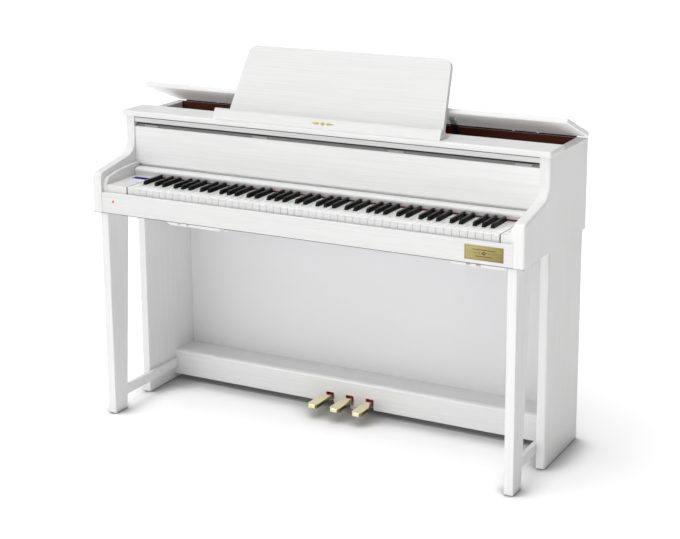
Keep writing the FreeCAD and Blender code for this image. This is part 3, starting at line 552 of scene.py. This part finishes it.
# ---------------------------------------------------------------- keys

def octave_left(number):
    """Where the octave of a key starts; keys are numbered as in MIDI, so 60 is the middle C."""
    return KEYS_LEFT + (2 + 7 * (number // 12 - 2)) * KEY_PITCH


def neck_span(number):
    """The width a key has between its neighbours behind the heads: 5 equal necks, then 7."""
    note = number % 12
    left = octave_left(number)
    if note < 5:
        width = 3 * KEY_PITCH / 5
        start = left + note * width
    else:
        width = 4 * KEY_PITCH / 7
        start = left + 3 * KEY_PITCH + (note - 5) * width
    return start + KEY_SLIT, start + width - KEY_SLIT


def natural_key(number):
    """Key top with a rounded nose and eased edges, on its wooden stick."""
    neck = neck_span(number)
    start = octave_left(number) + NATURALS.index(number % 12) * KEY_PITCH
    head = (start + KEY_SLIT / 2, start + KEY_PITCH - KEY_SLIT / 2)
    left = head[0] if number == FIRST_KEY else neck[0]
    right = head[1] if number == LAST_KEY else neck[1]
    outline = [(head[0], KEY_FRONT_Y), (head[1], KEY_FRONT_Y)]
    if head[1] - right > 0.01:
        outline += [(head[1], KEY_HEAD_REAR_Y, 1), (right, KEY_HEAD_REAR_Y, 0.8)]
    outline += [(right, KEY_TOP_REAR_Y), (left, KEY_TOP_REAR_Y)]
    if left - head[0] > 0.01:
        outline += [(left, KEY_HEAD_REAR_Y, 0.8), (head[0], KEY_HEAD_REAR_Y, 1)]
    inset = {head[0]: head[0] + FRONT_INSET, head[1]: head[1] - FRONT_INSET}
    plate = [(inset.get(p[0], p[0]),) + tuple(p[1:]) for p in outline]
    cap = slab(plate, "z", (KEY_TOP_Z - KEY_HEAD_T, KEY_TOP_Z - KEY_TOP_T), 0.5, 2, 3)
    overhang = [(p[0], p[1] - 0.6) + tuple(p[2:]) if p[1] == KEY_FRONT_Y else p for p in outline]
    top = slab(overhang, "z", (KEY_TOP_Z - KEY_TOP_T, KEY_TOP_Z), 0.75, 3, 3)
    stick = bar(neck, (KEY_FRONT_Y + 6, STICK_REAR_Y), (STICK_Z[0], STICK_Z[1] - 0.2), 0.6, 1)
    return [(top, IVORY), (cap, KEY_FRONT), (stick, RAW_WOOD)]


def sharp_key(number):
    """Tapered black top, sloped and rounded at the front, on its wooden stick."""
    neck = neck_span(number)
    middle = sum(neck) / 2
    half, crown = SHARP_W / 2, SHARP_W / 2 - 0.9
    base_z, low_y = STICK_Z[1] - 1.5, KEY_HEAD_REAR_Y + 1.7
    rings = (
        (low_y, base_z, half), (low_y + 0.9, base_z + 11, half - 0.35),
        (low_y + 3.2, SHARP_TOP_Z - 2.2, half - 0.8), (low_y + 8.5, SHARP_TOP_Z, crown),
        (KEY_TOP_REAR_Y, SHARP_TOP_Z, crown),
    )
    shape = bmesh.new()
    left = [shape.verts.new(point(middle - w, y, z)) for y, z, w in rings]
    right = [shape.verts.new(point(middle + w, y, z)) for y, z, w in rings]
    left.append(shape.verts.new(point(middle - half, KEY_TOP_REAR_Y, base_z)))
    right.append(shape.verts.new(point(middle + half, KEY_TOP_REAR_Y, base_z)))
    shape.faces.new(left)
    shape.faces.new(right[::-1])
    for index in range(len(left)):
        following = (index + 1) % len(left)
        shape.faces.new((left[index], right[index], right[following], left[following]))
    bmesh.ops.recalc_face_normals(shape, faces=shape.faces)
    soften(shape, 1.1, 3)
    stick = bar(neck, (KEY_HEAD_REAR_Y + 4, STICK_REAR_Y), (STICK_Z[0], base_z + 0.5), 0.6, 1)
    return [(shape, EBONY), (stick, RAW_WOOD)]


def make_keys():
    """The middle octave's keys one by one, and all the others in two groups."""
    groups = {"other_white_keys": [], "other_black_keys": []}
    for number in range(FIRST_KEY, LAST_KEY + 1):
        note = number % 12
        is_sharp = note in SHARPS
        shapes = sharp_key(number) if is_sharp else natural_key(number)
        if number in OCTAVE:
            name = "key_" + NOTE_NAMES[note]
            piece(name + "_top_and_stick", name, shapes, (name,))
        else:
            groups["other_black_keys" if is_sharp else "other_white_keys"] += shapes
    for name, shapes in groups.items():
        piece(name + "_tops_and_sticks", name, shapes, (name,))


# ---------------------------------------------------------------- pedals

def pedal_side(centre, side, flare):
    """One edge of a pedal from its pivot to its toe, which flares outwards."""
    neck = centre + side * PEDAL_NECK_W / 2
    toe = neck + side * flare
    points = [(neck, PEDAL_PIVOT_Y - 2)]
    if flare:
        points += [(neck, 98, 40), (toe - side, 66, 30)]
    return points + [(toe, PEDAL_TOE_Y, 11)]


def make_pedals():
    """Forged brass pedals: flat top, chamfer all round, rounded toe; faces that look sideways get a darker
    brass as painted shade.
    """
    for name, centre in PEDAL_CENTRES.items():
        left_flare, right_flare = PEDAL_FLARES[name]
        outline = pedal_side(centre, -1, left_flare) + pedal_side(centre, 1, right_flare)[::-1]
        tongue = slab(outline, "z", PEDAL_Z, steps=8)
        top = [e for e in tongue.edges if all(v.co.z > PEDAL_Z[1] / 1000 - 1e-5 for v in e.verts)]
        bmesh.ops.bevel(tongue, geom=top, offset=0.0022, segments=3, profile=0.6, affect="EDGES")
        foot = [e for e in tongue.edges if all(v.co.z < PEDAL_Z[0] / 1000 + 1e-5 for v in e.verts)]
        bmesh.ops.bevel(tongue, geom=foot, offset=0.003, segments=3, profile=0.5, affect="EDGES")
        half = PEDAL_NECK_W / 2
        rim = [(3.4, 0), (5.6, 0), (6.5, 0.9)]
        profile = rim + [(radius, PEDAL_NECK_W - height) for radius, height in rim[::-1]]
        start = (centre - half, PEDAL_PIVOT_Y, sum(PEDAL_Z) / 2)
        boss = turned(profile, start, (1, 0, 0), 32)
        pairs = [(tongue, PEDAL_BRASS), (boss, PEDAL_BRASS)]
        thing = piece(name + "_brass", name, pairs, (name,))
        # Faces that look sideways take the dark brass: painted shade and painted reflection.
        thing.data.materials.append(PEDAL_BRASS_PAINTED_SHADE)
        for face in thing.data.polygons:
            if abs(face.normal.z) < 0.95 and abs(face.normal.x) > 0.35:
                face.material_index = 1


# ---------------------------------------------------------------- cabinet details

def make_sound_slot():
    """What shows in the slot over the front panel: a grey cloth lip and, above it, the same cloth near
    black as painted shade under the rail.
    """
    x = (-SIDE_IN + 0.5, SIDE_IN - 0.5)
    y, z = PANEL_FRONT_Y, SLOT_Z
    lip = slab([(y + 5, z[0] - 0.2), (y + 17, z[0] - 0.2), (y + 17, z[0] + 7), (y + 9, z[0] + 7)], "x", x)
    back = slab([(y + 14, z[0] + 6), (y + 17, z[0] + 6), (y + 17, z[1]), (y + 14, z[1])], "x", x)
    piece("sound_slot_cloth", "cabinet", [(lip, GREY_CLOTH), (back, SLOT_CLOTH_PAINTED_SHADE)])


def framed_line(x, z, y, width, depth=0.35):
    """A rectangular ring lying on a front surface: four mitred strips."""
    shapes = []
    inner_x = (x[0] + width, x[1] - width)
    inner_z = (z[0] + width, z[1] - width)
    for outline in (
        [(x[0], z[0]), (x[1], z[0]), (inner_x[1], inner_z[0]), (inner_x[0], inner_z[0])],
        [(x[1], z[0]), (x[1], z[1]), (inner_x[1], inner_z[1]), (inner_x[1], inner_z[0])],
        [(x[1], z[1]), (x[0], z[1]), (inner_x[0], inner_z[1]), (inner_x[1], inner_z[1])],
        [(x[0], z[1]), (x[0], z[0]), (inner_x[0], inner_z[0]), (inner_x[0], inner_z[1])],
    ):
        shapes.append(slab(outline, "y", (y, y + depth)))
    return shapes


def lozenge(x, z, half_w, half_h, y, depth):
    outline = [(x - half_w, z), (x, z - half_h), (x + half_w, z), (x, z + half_h)]
    return slab(outline, "y", (y, y + depth))


def make_plate():
    """Brass plate with an engraved border, two long rules, two short ones and three lozenges."""
    low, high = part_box("name_plate")
    x, z = (low.x * 1000, high.x * 1000), (low.z * 1000, high.z * 1000)
    front, rear = low.y * 1000 + 0.15, high.y * 1000
    face = bar(x, (front, rear), z, 0.3, 2)
    shapes = [(face, PLATE_BRASS_PAINTED_SHADE)]
    middle = sum(x) / 2, sum(z) / 2
    ink = front - 0.06
    inset = 3.2
    for line in framed_line((x[0] + inset, x[1] - inset), (z[0] + inset, z[1] - inset), ink, 0.55):
        shapes.append((line, ENGRAVING))
    for height, half in ((9.5, 34), (-9.5, 26)):
        span = (middle[0] - half, middle[0] + half)
        level = middle[1] + height
        rule = bar(span, (ink, ink + 0.3), (level - 0.9, level + 0.9))
        shapes.append((rule, ENGRAVING))
    shapes.append((lozenge(middle[0], middle[1], 7.5, 5.4, ink, 0.3), ENGRAVING))
    shapes.append((lozenge(middle[0], middle[1], 3.4, 2.2, ink - 0.03, 0.3), PLATE_BRASS_PAINTED_SHADE))
    for side in (-1, 1):
        shapes.append((lozenge(middle[0] + side * 13, middle[1], 2.6, 1.6, ink, 0.3), ENGRAVING))
        start = middle[0] + side * 18
        span = sorted((start, start + side * 16))
        short_rule = bar(span, (ink, ink + 0.3), (middle[1] - 0.35, middle[1] + 0.35))
        shapes.append((short_rule, ENGRAVING))
    piece("engraved_plate", "cabinet", shapes, ("name_plate",))


def make_ledge_inlay():
    """A small gilt ornament on the sloping face of the ledge: a lozenge between two darts."""
    foot, crest = Vector(LEDGE_FOOT), Vector(LEDGE_CREST)
    slope = math.atan2(crest.y - foot.y, crest.x - foot.x)
    centre = foot + (crest - foot) * 0.47
    shapes = [lozenge(0, 0, 8.5, 6.5, -0.35, 0.6)]
    for side in (-1, 1):
        points = [(side * 11, 0), (side * 17, -4.2), (side * 40, 0), (side * 17, 4.2)]
        shapes.append(slab(points, "y", (-0.35, 0.25)))
    to_slope = (
        Matrix.Translation(point(0, centre.x, centre.y)) @ Matrix.Rotation(slope - math.pi / 2, 4, "X")
    )
    pairs = [(moved(shape, to_slope), GOLD) for shape in shapes]
    piece("ledge_inlay", "cabinet", pairs)


def make_control_panel():
    """Blue screen with its bezel, printed marks and lamps on the left block; lamp on the key slip."""
    low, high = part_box("display_window")
    x, y = (low.x * 1000, high.x * 1000), (low.y * 1000, high.y * 1000)
    top = high.z * 1000
    rim = 0.6
    inner_x, inner_y = (x[0] + rim, x[1] - rim), (y[0] + rim, y[1] - rim)
    glass = bar(inner_x, inner_y, (top - 1.2, top - 0.1), 0.2, 2)
    bezel = []
    for span_x, span_y in (
        (x, (y[0], inner_y[0])), (x, (inner_y[1], y[1])),
        ((x[0], inner_x[0]), inner_y), ((inner_x[1], x[1]), inner_y),
    ):
        bezel.append(bar(span_x, span_y, (top - 1.2, top), 0.15, 2))
    shapes = [(glass, SCREEN)] + [(part, WHITE_PLASTIC) for part in bezel]
    piece("screen", "cabinet", shapes, ("display_window",))

    marks = []
    for row in range(3):
        for column in range(5):
            mark_x = -664 + column * 14.5
            mark_y = -148 - row * 17 + column * 0.5
            length = 7.0 if (row + column) % 2 else 5.0
            dash_z = (BLOCK_TOP_Z, BLOCK_TOP_Z + 0.12)
            marks.append(bar((mark_x, mark_x + length), (mark_y, mark_y + 1.1), dash_z))
            pad_centre = (mark_x + 3, mark_y - 5.5, BLOCK_TOP_Z)
            marks.append(turned([(2.3, 0), (2.3, 0.12), (1.9, 0.2)], pad_centre, steps=20))
    pairs = [(mark, PRINT if index % 2 == 0 else WHITE_PLASTIC) for index, mark in enumerate(marks)]
    piece("touch_panel_marks", "cabinet", pairs)

    lamps = []
    for lamp_x, lamp_y in ((-617, -205), (-657, -217)):
        dome = [(2.4, 0), (2.4, 0.2), (1.8, 0.55), (0.8, 0.8)]
        lamps.append((turned(dome, (lamp_x, lamp_y, BLOCK_TOP_Z), steps=20), RED_LAMP))
    slip_lamp = (-637, SLIP_FRONT_Y, 700)
    ring = [(4.0, 0), (4.0, 0.15), (3.8, 0.3), (3.6, 0.2), (3.5, 0.1)]
    lamps.append((turned(ring, slip_lamp, (0, -1, 0), 28), WHITE_PLASTIC))
    lens = [(3.6, 0), (3.6, 0.25), (2.7, 0.6), (1.0, 0.75)]
    lamps.append((turned(lens, slip_lamp, (0, -1, 0), 28), RED_LAMP))
    piece("panel_lamps", "cabinet", lamps)


def make_knob():
    """A skirted knob with a fluted grip and a pointer, on its stem."""
    low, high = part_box("volume_knob")
    x, y = (low.x + high.x) * 500, (low.y + high.y) * 500
    base, top = BLOCK_TOP_Z + 0.5, high.z * 1000
    skirt = turned([(7.4, 0), (8.0, 0.5), (8.0, 1.4), (7.2, 1.9)], (x, y, base), steps=48)
    tall = top - base
    profile = [(7.1, 1.6), (7.0, 4.9), (6.4, tall - 0.2), (5.2, tall), (2.5, tall - 0.2)]
    grip = turned(profile, (x, y, base), steps=96, flutes=24, depth=0.45)
    pointer = bar((x - 0.5, x + 0.5), (y - 6, y - 1.5), (top - 0.3, top), 0.15, 1)
    stem = turned([(2.9, -11), (2.9, 1.7)], (x, y, base), steps=24)
    shapes = [(skirt, WHITE_PLASTIC), (grip, WHITE_PLASTIC), (pointer, GREY_PLASTIC), (stem, STEEL)]
    piece("fluted_knob", "volume_knob", shapes, ("volume_knob",))


def screw_head(centre, direction, radius=3.2):
    """A countersunk head with a cross recess."""
    profile = [(radius, 0), (radius, 0.25), (radius * 0.8, 0.7), (radius * 0.3, 0.85)]
    head = turned(profile, centre, direction, 24)
    shapes = [(head, STEEL)]
    spin = Vector((0, 0, 1)).rotation_difference(Vector(direction)).to_matrix().to_4x4()
    for long_x, long_y in ((0.55, 0.12), (0.12, 0.55)):
        reach_x, reach_y = radius * long_x, radius * long_y
        groove = bar((-reach_x, reach_x), (-reach_y, reach_y), (0.6, 0.95))
        shapes.append((moved(groove, Matrix.Translation(point(*centre)) @ spin), DARK_STEEL))
    return shapes


def make_back_screws():
    """Rows of screws along the edges of both back boards."""
    spots = [(x, z) for x in range(-640, 641, 160) for z in (672, 924, 52, 650)]
    spots += [(x, z) for x in (-666, 666) for z in (160, 300, 440, 580, 760, 840)]
    shapes = []
    for x, z in spots:
        shapes += screw_head((x, BACK_REAR_Y, z), (0, 1, 0))
    piece("back_board_screws", "cabinet", shapes)


def make_inlet_details():
    """Three contact pins and two fixing screws of the mains inlet."""
    low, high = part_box("mains_inlet")
    x, z = (low.x + high.x) * 500, (low.z + high.z) * 500
    rear = high.y * 1000
    shapes = []
    for pin_x, pin_z in ((x - 7, z - 1.5), (x + 7, z - 1.5), (x, z + 2.5)):
        pin = bar((pin_x - 1, pin_x + 1), (rear - 15.5, rear - 3), (pin_z - 2, pin_z + 2), 0.3, 1)
        shapes.append((pin, STEEL))
    for side in (-1, 1):
        shapes += screw_head((x + side * 16.3, rear, z), (0, 1, 0), 2.4)
    piece("inlet_pins", "cabinet", shapes)


def make_speakers():
    """Pressed flange, folded surround, paper cone with ribs, dust cap, basket, magnet and screws."""
    flange = [(64, 0), (64, 2.2), (62, 3.2), (57, 3.2), (56, 2.0)]
    surround = [(56, 2.0), (54, 4.2), (51, 4.6), (48, 2.4), (46.5, -1)]
    cone = [(46.5, -1), (40, -7), (38.5, -7.4), (30, -14), (28.5, -14.4), (20, -20), (14, -22)]
    dust_cap = [(17, -20), (16, -16), (12, -12), (6, -9.5), (1, -9)]
    basket = [(55.5, 0), (54, -8), (46, -22), (32, -33.5), (30, -34)]
    magnet = [(36, -33.5), (38, -35), (38, -50), (36, -52), (12, -52)]
    turnings = (
        (flange, 56, DARK_STEEL), (surround, 56, RUBBER), (cone, 56, CONE_PAPER),
        (dust_cap, 40, RUBBER), (basket, 56, DARK_STEEL), (magnet, 48, STEEL),
    )
    shapes = []
    for x in SPEAKER_XS:
        centre = (x, SPEAKER_Y, SHELF_TOP_Z)
        for profile, steps, material in turnings:
            shapes.append((turned(profile, centre, steps=steps), material))
        for turn in range(4):
            angle = math.radians(45 + 90 * turn)
            spot = (x + 60 * math.cos(angle), SPEAKER_Y + 60 * math.sin(angle), SHELF_TOP_Z + 2.4)
            shapes += screw_head(spot, (0, 0, 1), 2.3)
    piece("loudspeakers", "cabinet", shapes, ("speakers",))


def make_hinge_details():
    """Knuckle rings and leaf screws of the three hinges."""
    shapes = []
    for x in HINGE_XS:
        for step in range(-2, 3):
            ring_x = x + step * 14 - 0.5
            ring = turned([(2.5, 0), (2.5, 1)], (ring_x, *LID_AXIS), (1, 0, 0), 24)
            shapes.append((ring, DARK_STEEL))
        for offset in (-26, 0, 26):
            shapes += screw_head((x + offset, BACK_REAR_Y + 1.6, 922), (0, 1, 0), 2.4)
    piece("hinge_screws", "cabinet", shapes)


def make_jack_details():
    """White collar and grey contact ring of each headphone jack, and the tongue in each data port."""
    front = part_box("headphone_box")[0].y * 1000
    shapes = []
    for x in JACK_XS:
        shapes.append((slab_ring((x, front + 0.2, JACK_Z), 3.3, 4.6, 0.7), WHITE_PLASTIC))
        shapes.append((slab_ring((x, front + 5.0, JACK_Z), 1.2, 3.2, 1.0), GREY_PLASTIC))
    for x in DATA_PORT_XS:
        tongue = bar((x + 1.2, x + 11.8), (front + 0.8, front + 13), (654.5, 657.2), 0.2, 1)
        shapes.append((tongue, WHITE_PLASTIC))
    piece("jack_collars", "cabinet", shapes)


def make_panel_gap_strip():
    """Grey strip behind the gap under the front panel, over the key cover: it gives the gap a grey painted
    shade.
    """
    y = (PANEL_FRONT_Y + 3, PANEL_FRONT_Y + 15)
    seal = bar((-SIDE_IN + 14, SIDE_IN - 14), y, (773.6, 777.6), 0.5, 2)
    piece("panel_gap_shade_strip", "cabinet", [(seal, GREY_PLASTIC)])


def make_painted_shadow_bands():
    """Dark bands of painted shadow under the slip, the arms and the top board's overhang; dark joint strips
    beside the slip; a pale strip in the ledge's crease.
    """
    # Painted shade along the underside of the slip and the arms.
    shapes = [bar((-SIDE_IN, SIDE_IN), (-243.3, BAND_REAR_Y), UNDERSIDE_Z, EASED, 1)]
    for side in (-1, 1):
        span = sorted((side * (SIDE_IN + 0.5), side * ARM_OUT))
        shapes.append(bar(span, (-244.0, BAND_REAR_Y), UNDERSIDE_Z, EASED, 1))
    # Painted shadow under the top board's overhang.
    shapes.append(bar((-SIDE_IN + 0.5, SIDE_IN - 0.5), (-56.9, -55.9), (929.4, 933.8), 0.25, 1))
    for side in (-1, 1):
        span = sorted((side * (SIDE_IN - 0.5), side * (SIDE_IN + 0.3)))
        shapes.append(bar(span, (-243.9, -242.9), (663, 726.3)))
    ledge_low, ledge_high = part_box("music_ledge")
    ledge_x = (ledge_low.x * 1000 + 1, ledge_high.x * 1000 - 1)
    crest_y, crest_z = LEDGE_CREST
    crease = bar(ledge_x, (crest_y - 2.2, crest_y + 0.2), (crest_z - 1.4, crest_z), 0.25, 1)
    pairs = [(shape, SHADOW_GAP) for shape in shapes] + [(crease, WHITE_PLASTIC)]
    piece("painted_shadow_bands", "cabinet", pairs)


def make_dust_tape():
    """Brown cloth tape behind the lid joint, between the hinges."""
    stops = [-SIDE_IN + 1] + [x + side * 42 for x in HINGE_XS for side in (-1, 1)] + [SIDE_IN - 1]
    tape_y = (BACK_REAR_Y + 0.05, BACK_REAR_Y + 0.5)
    strips = []
    for start, end in zip(stops[::2], stops[1::2]):
        strips.append(bar((start, end), tape_y, (926, 939.8), 0.15, 1))
    piece("lid_dust_tape", "cabinet", [(strip, BROWN_BOARD) for strip in strips])


def make_key_blocks_felt():
    """Dark felt strips between the end keys and the blocks beside them."""
    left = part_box("left_control_block")[1].x * 1000
    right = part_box("right_end_block")[0].x * 1000
    strips = []
    for span in ((left - 0.4, left + 1.1), (right - 1.1, right + 0.4)):
        strips.append(bar(span, (KEY_FRONT_Y + 0.3, -150), (725, 747.6), 0.2, 1))
    piece("end_key_felts", "cabinet", [(strip, BLACK_PLASTIC) for strip in strips])


def slab_ring(centre, inner, outer, depth, steps=32):
    """A flat ring facing the player."""
    shape = bmesh.new()
    x, y, z = centre
    section = ((inner, 0), (outer, 0), (outer, -depth * 0.6), (outer - 0.5, -depth), (inner, -depth))
    rings = []
    for radius, offset in section:
        ring = []
        for step in range(steps):
            angle = 2 * math.pi * step / steps
            spot = point(x + radius * math.cos(angle), y + offset, z + radius * math.sin(angle))
            ring.append(shape.verts.new(spot))
        rings.append(ring)
    for first, second in zip(rings, rings[1:] + rings[:1]):
        for step in range(steps):
            following = (step + 1) % steps
            shape.faces.new((first[step], first[following], second[following], second[step]))
    bmesh.ops.recalc_face_normals(shape, faces=shape.faces)
    return shape


# ---------------------------------------------------------------- studio

def make_floor():
    """A pale, evenly glowing floor with a painted contact shadow: an ambient occlusion node darkens it and
    dims its glow where something stands close over it.
    """
    mesh = bpy.data.meshes.new("studio_floor")
    grid = bmesh.new()
    bmesh.ops.create_grid(grid, x_segments=8, y_segments=8, size=60.0)
    grid.to_mesh(mesh)
    grid.free()
    floor = bpy.data.objects.new("studio_floor", mesh)
    bpy.context.collection.objects.link(floor)
    finish = Finish("studio_floor", Roughness=0.9, Specular_IOR_Level=0.0, Emission_Strength=0.2)
    finish.shader.inputs["Emission Color"].default_value = (1.0, 1.0, 1.0, 1.0)
    cloud = finish.ramp(finish.noise(0.8, 2), 0.3, 0.7)
    open_floor = finish.mix(cloud, (0.955, 0.955, 0.955), (0.965, 0.965, 0.965))
    # Painted contact shadow from the ambient occlusion node.
    near = finish.add("ShaderNodeAmbientOcclusion", {"Distance": 0.12})
    near.samples = 12
    contact = finish.ramp(near.outputs["AO"], 0.55, 0.86)
    finish.feed("Base Color", finish.mix(contact, (0.46, 0.46, 0.46), open_floor))
    finish.feed("Emission Strength", finish.ramp(contact, 0, 1, 0.0, 0.2))
    mesh.materials.append(finish.material)


# each fade: from, to, strength at from, strength at to
SKY_ACROSS = (-0.25, 0.65, 0.72, 0.02)
SKY_DEPTH = (-0.3, 0.5, 1.4, 0.6)


def make_world():
    """A white sky that is stronger on the left and behind the camera than on the right."""
    world = bpy.data.worlds.new("studio")
    bpy.context.scene.world = world
    world.use_nodes = True
    tree = world.node_tree
    spot = tree.nodes.new("ShaderNodeTexCoord")
    split = tree.nodes.new("ShaderNodeSeparateXYZ")
    both = tree.nodes.new("ShaderNodeMath")
    both.operation = "MULTIPLY"
    tree.links.new(spot.outputs["Generated"], split.inputs[0])
    for index, stops in enumerate((SKY_ACROSS, SKY_DEPTH)):
        fade = tree.nodes.new("ShaderNodeMapRange")
        for socket, value in zip(("From Min", "From Max", "To Min", "To Max"), stops):
            fade.inputs[socket].default_value = value
        tree.links.new(split.outputs[index], fade.inputs["Value"])
        tree.links.new(fade.outputs[0], both.inputs[index])
    background = tree.nodes["Background"]
    background.inputs[0].default_value = (1.0, 1.0, 1.0, 1.0)
    tree.links.new(both.outputs[0], background.inputs[1])


def aim(name, lamp, direction):
    """The object that holds a lamp, turned so that it shines along a direction."""
    holder = bpy.data.objects.new(name, lamp)
    holder.rotation_mode = "QUATERNION"
    holder.rotation_quaternion = direction.to_track_quat("-Z", "Y")
    bpy.context.collection.objects.link(holder)
    return holder


def soft_sun(name, direction, energy, spread):
    lamp = bpy.data.lights.new(name, "SUN")
    lamp.energy = energy
    lamp.angle = math.radians(spread)
    return aim(name, lamp, Vector(direction))


def soft_box(name, spot, target, size, watts):
    lamp = bpy.data.lights.new(name, "AREA")
    lamp.size = size
    lamp.energy = watts
    aim(name, lamp, Vector(target) - Vector(spot)).location = spot


def make_lid_fill():
    """A soft light from below that reaches only the lid, for the bounce under it when it is open."""
    only_lid = bpy.data.collections.new("lit_by_lid_fill")
    only_lid.objects.link(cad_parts["lid"])
    linking = soft_sun("lid_fill", (0.0, 0.5, 0.87), 1.3, 60).light_linking
    linking.receiver_collection = only_lid
    linking.blocker_collection = only_lid


CAMERA_SPOT = (2.1609, -3.9927, 1.8462)
CAMERA_YAW_PITCH_ROLL = (28.157, 12.952, -0.359)
CAMERA_LENS = 82.1
CAMERA_SHIFT = -0.14


def make_camera():
    """The viewing angle: yaw is to the left of +Y, pitch is downwards, in degrees."""
    yaw, pitch, roll = (math.radians(angle) for angle in CAMERA_YAW_PITCH_ROLL)
    ahead = Vector((-math.sin(yaw) * math.cos(pitch), math.cos(yaw) * math.cos(pitch), -math.sin(pitch)))
    level = Vector((math.cos(yaw), math.sin(yaw), 0.0))
    over = level.cross(ahead)
    right = level * math.cos(roll) + over * math.sin(roll)
    up = over * math.cos(roll) - level * math.sin(roll)
    data = bpy.data.cameras.new("camera")
    data.sensor_width = 36.0
    data.lens = CAMERA_LENS
    data.shift_y = CAMERA_SHIFT
    data.clip_end = 200.0
    camera = bpy.data.objects.new("camera", data)
    turn = Matrix((right, up, -ahead)).transposed().to_4x4()
    camera.matrix_world = Matrix.Translation(Vector(CAMERA_SPOT)) @ turn
    bpy.context.collection.objects.link(camera)
    bpy.context.scene.camera = camera


make_camera()
make_world()
make_floor()
soft_sun("front_left_light", (0.35, 0.93, -0.05), 0.36, 40)
soft_sun("front_right_light", (-0.35, 0.93, -0.05), 0.45, 40)
soft_box("side_light", (1.5, -1.1, 0.8), (0.7, -0.1, 0.55), 0.7, 1.1)
soft_sun("top_light", (0.1, 0.15, -1.0), 1.5, 60)
bpy.context.scene.view_settings.view_transform = "Standard"

dress_cad_nodes()
make_keys()
make_pedals()
make_sound_slot()
make_plate()
make_ledge_inlay()
make_control_panel()
make_knob()
make_back_screws()
make_inlet_details()
make_speakers()
make_hinge_details()
make_jack_details()
make_panel_gap_strip()
make_painted_shadow_bands()
make_key_blocks_felt()
make_dust_tape()
make_lid_fill()
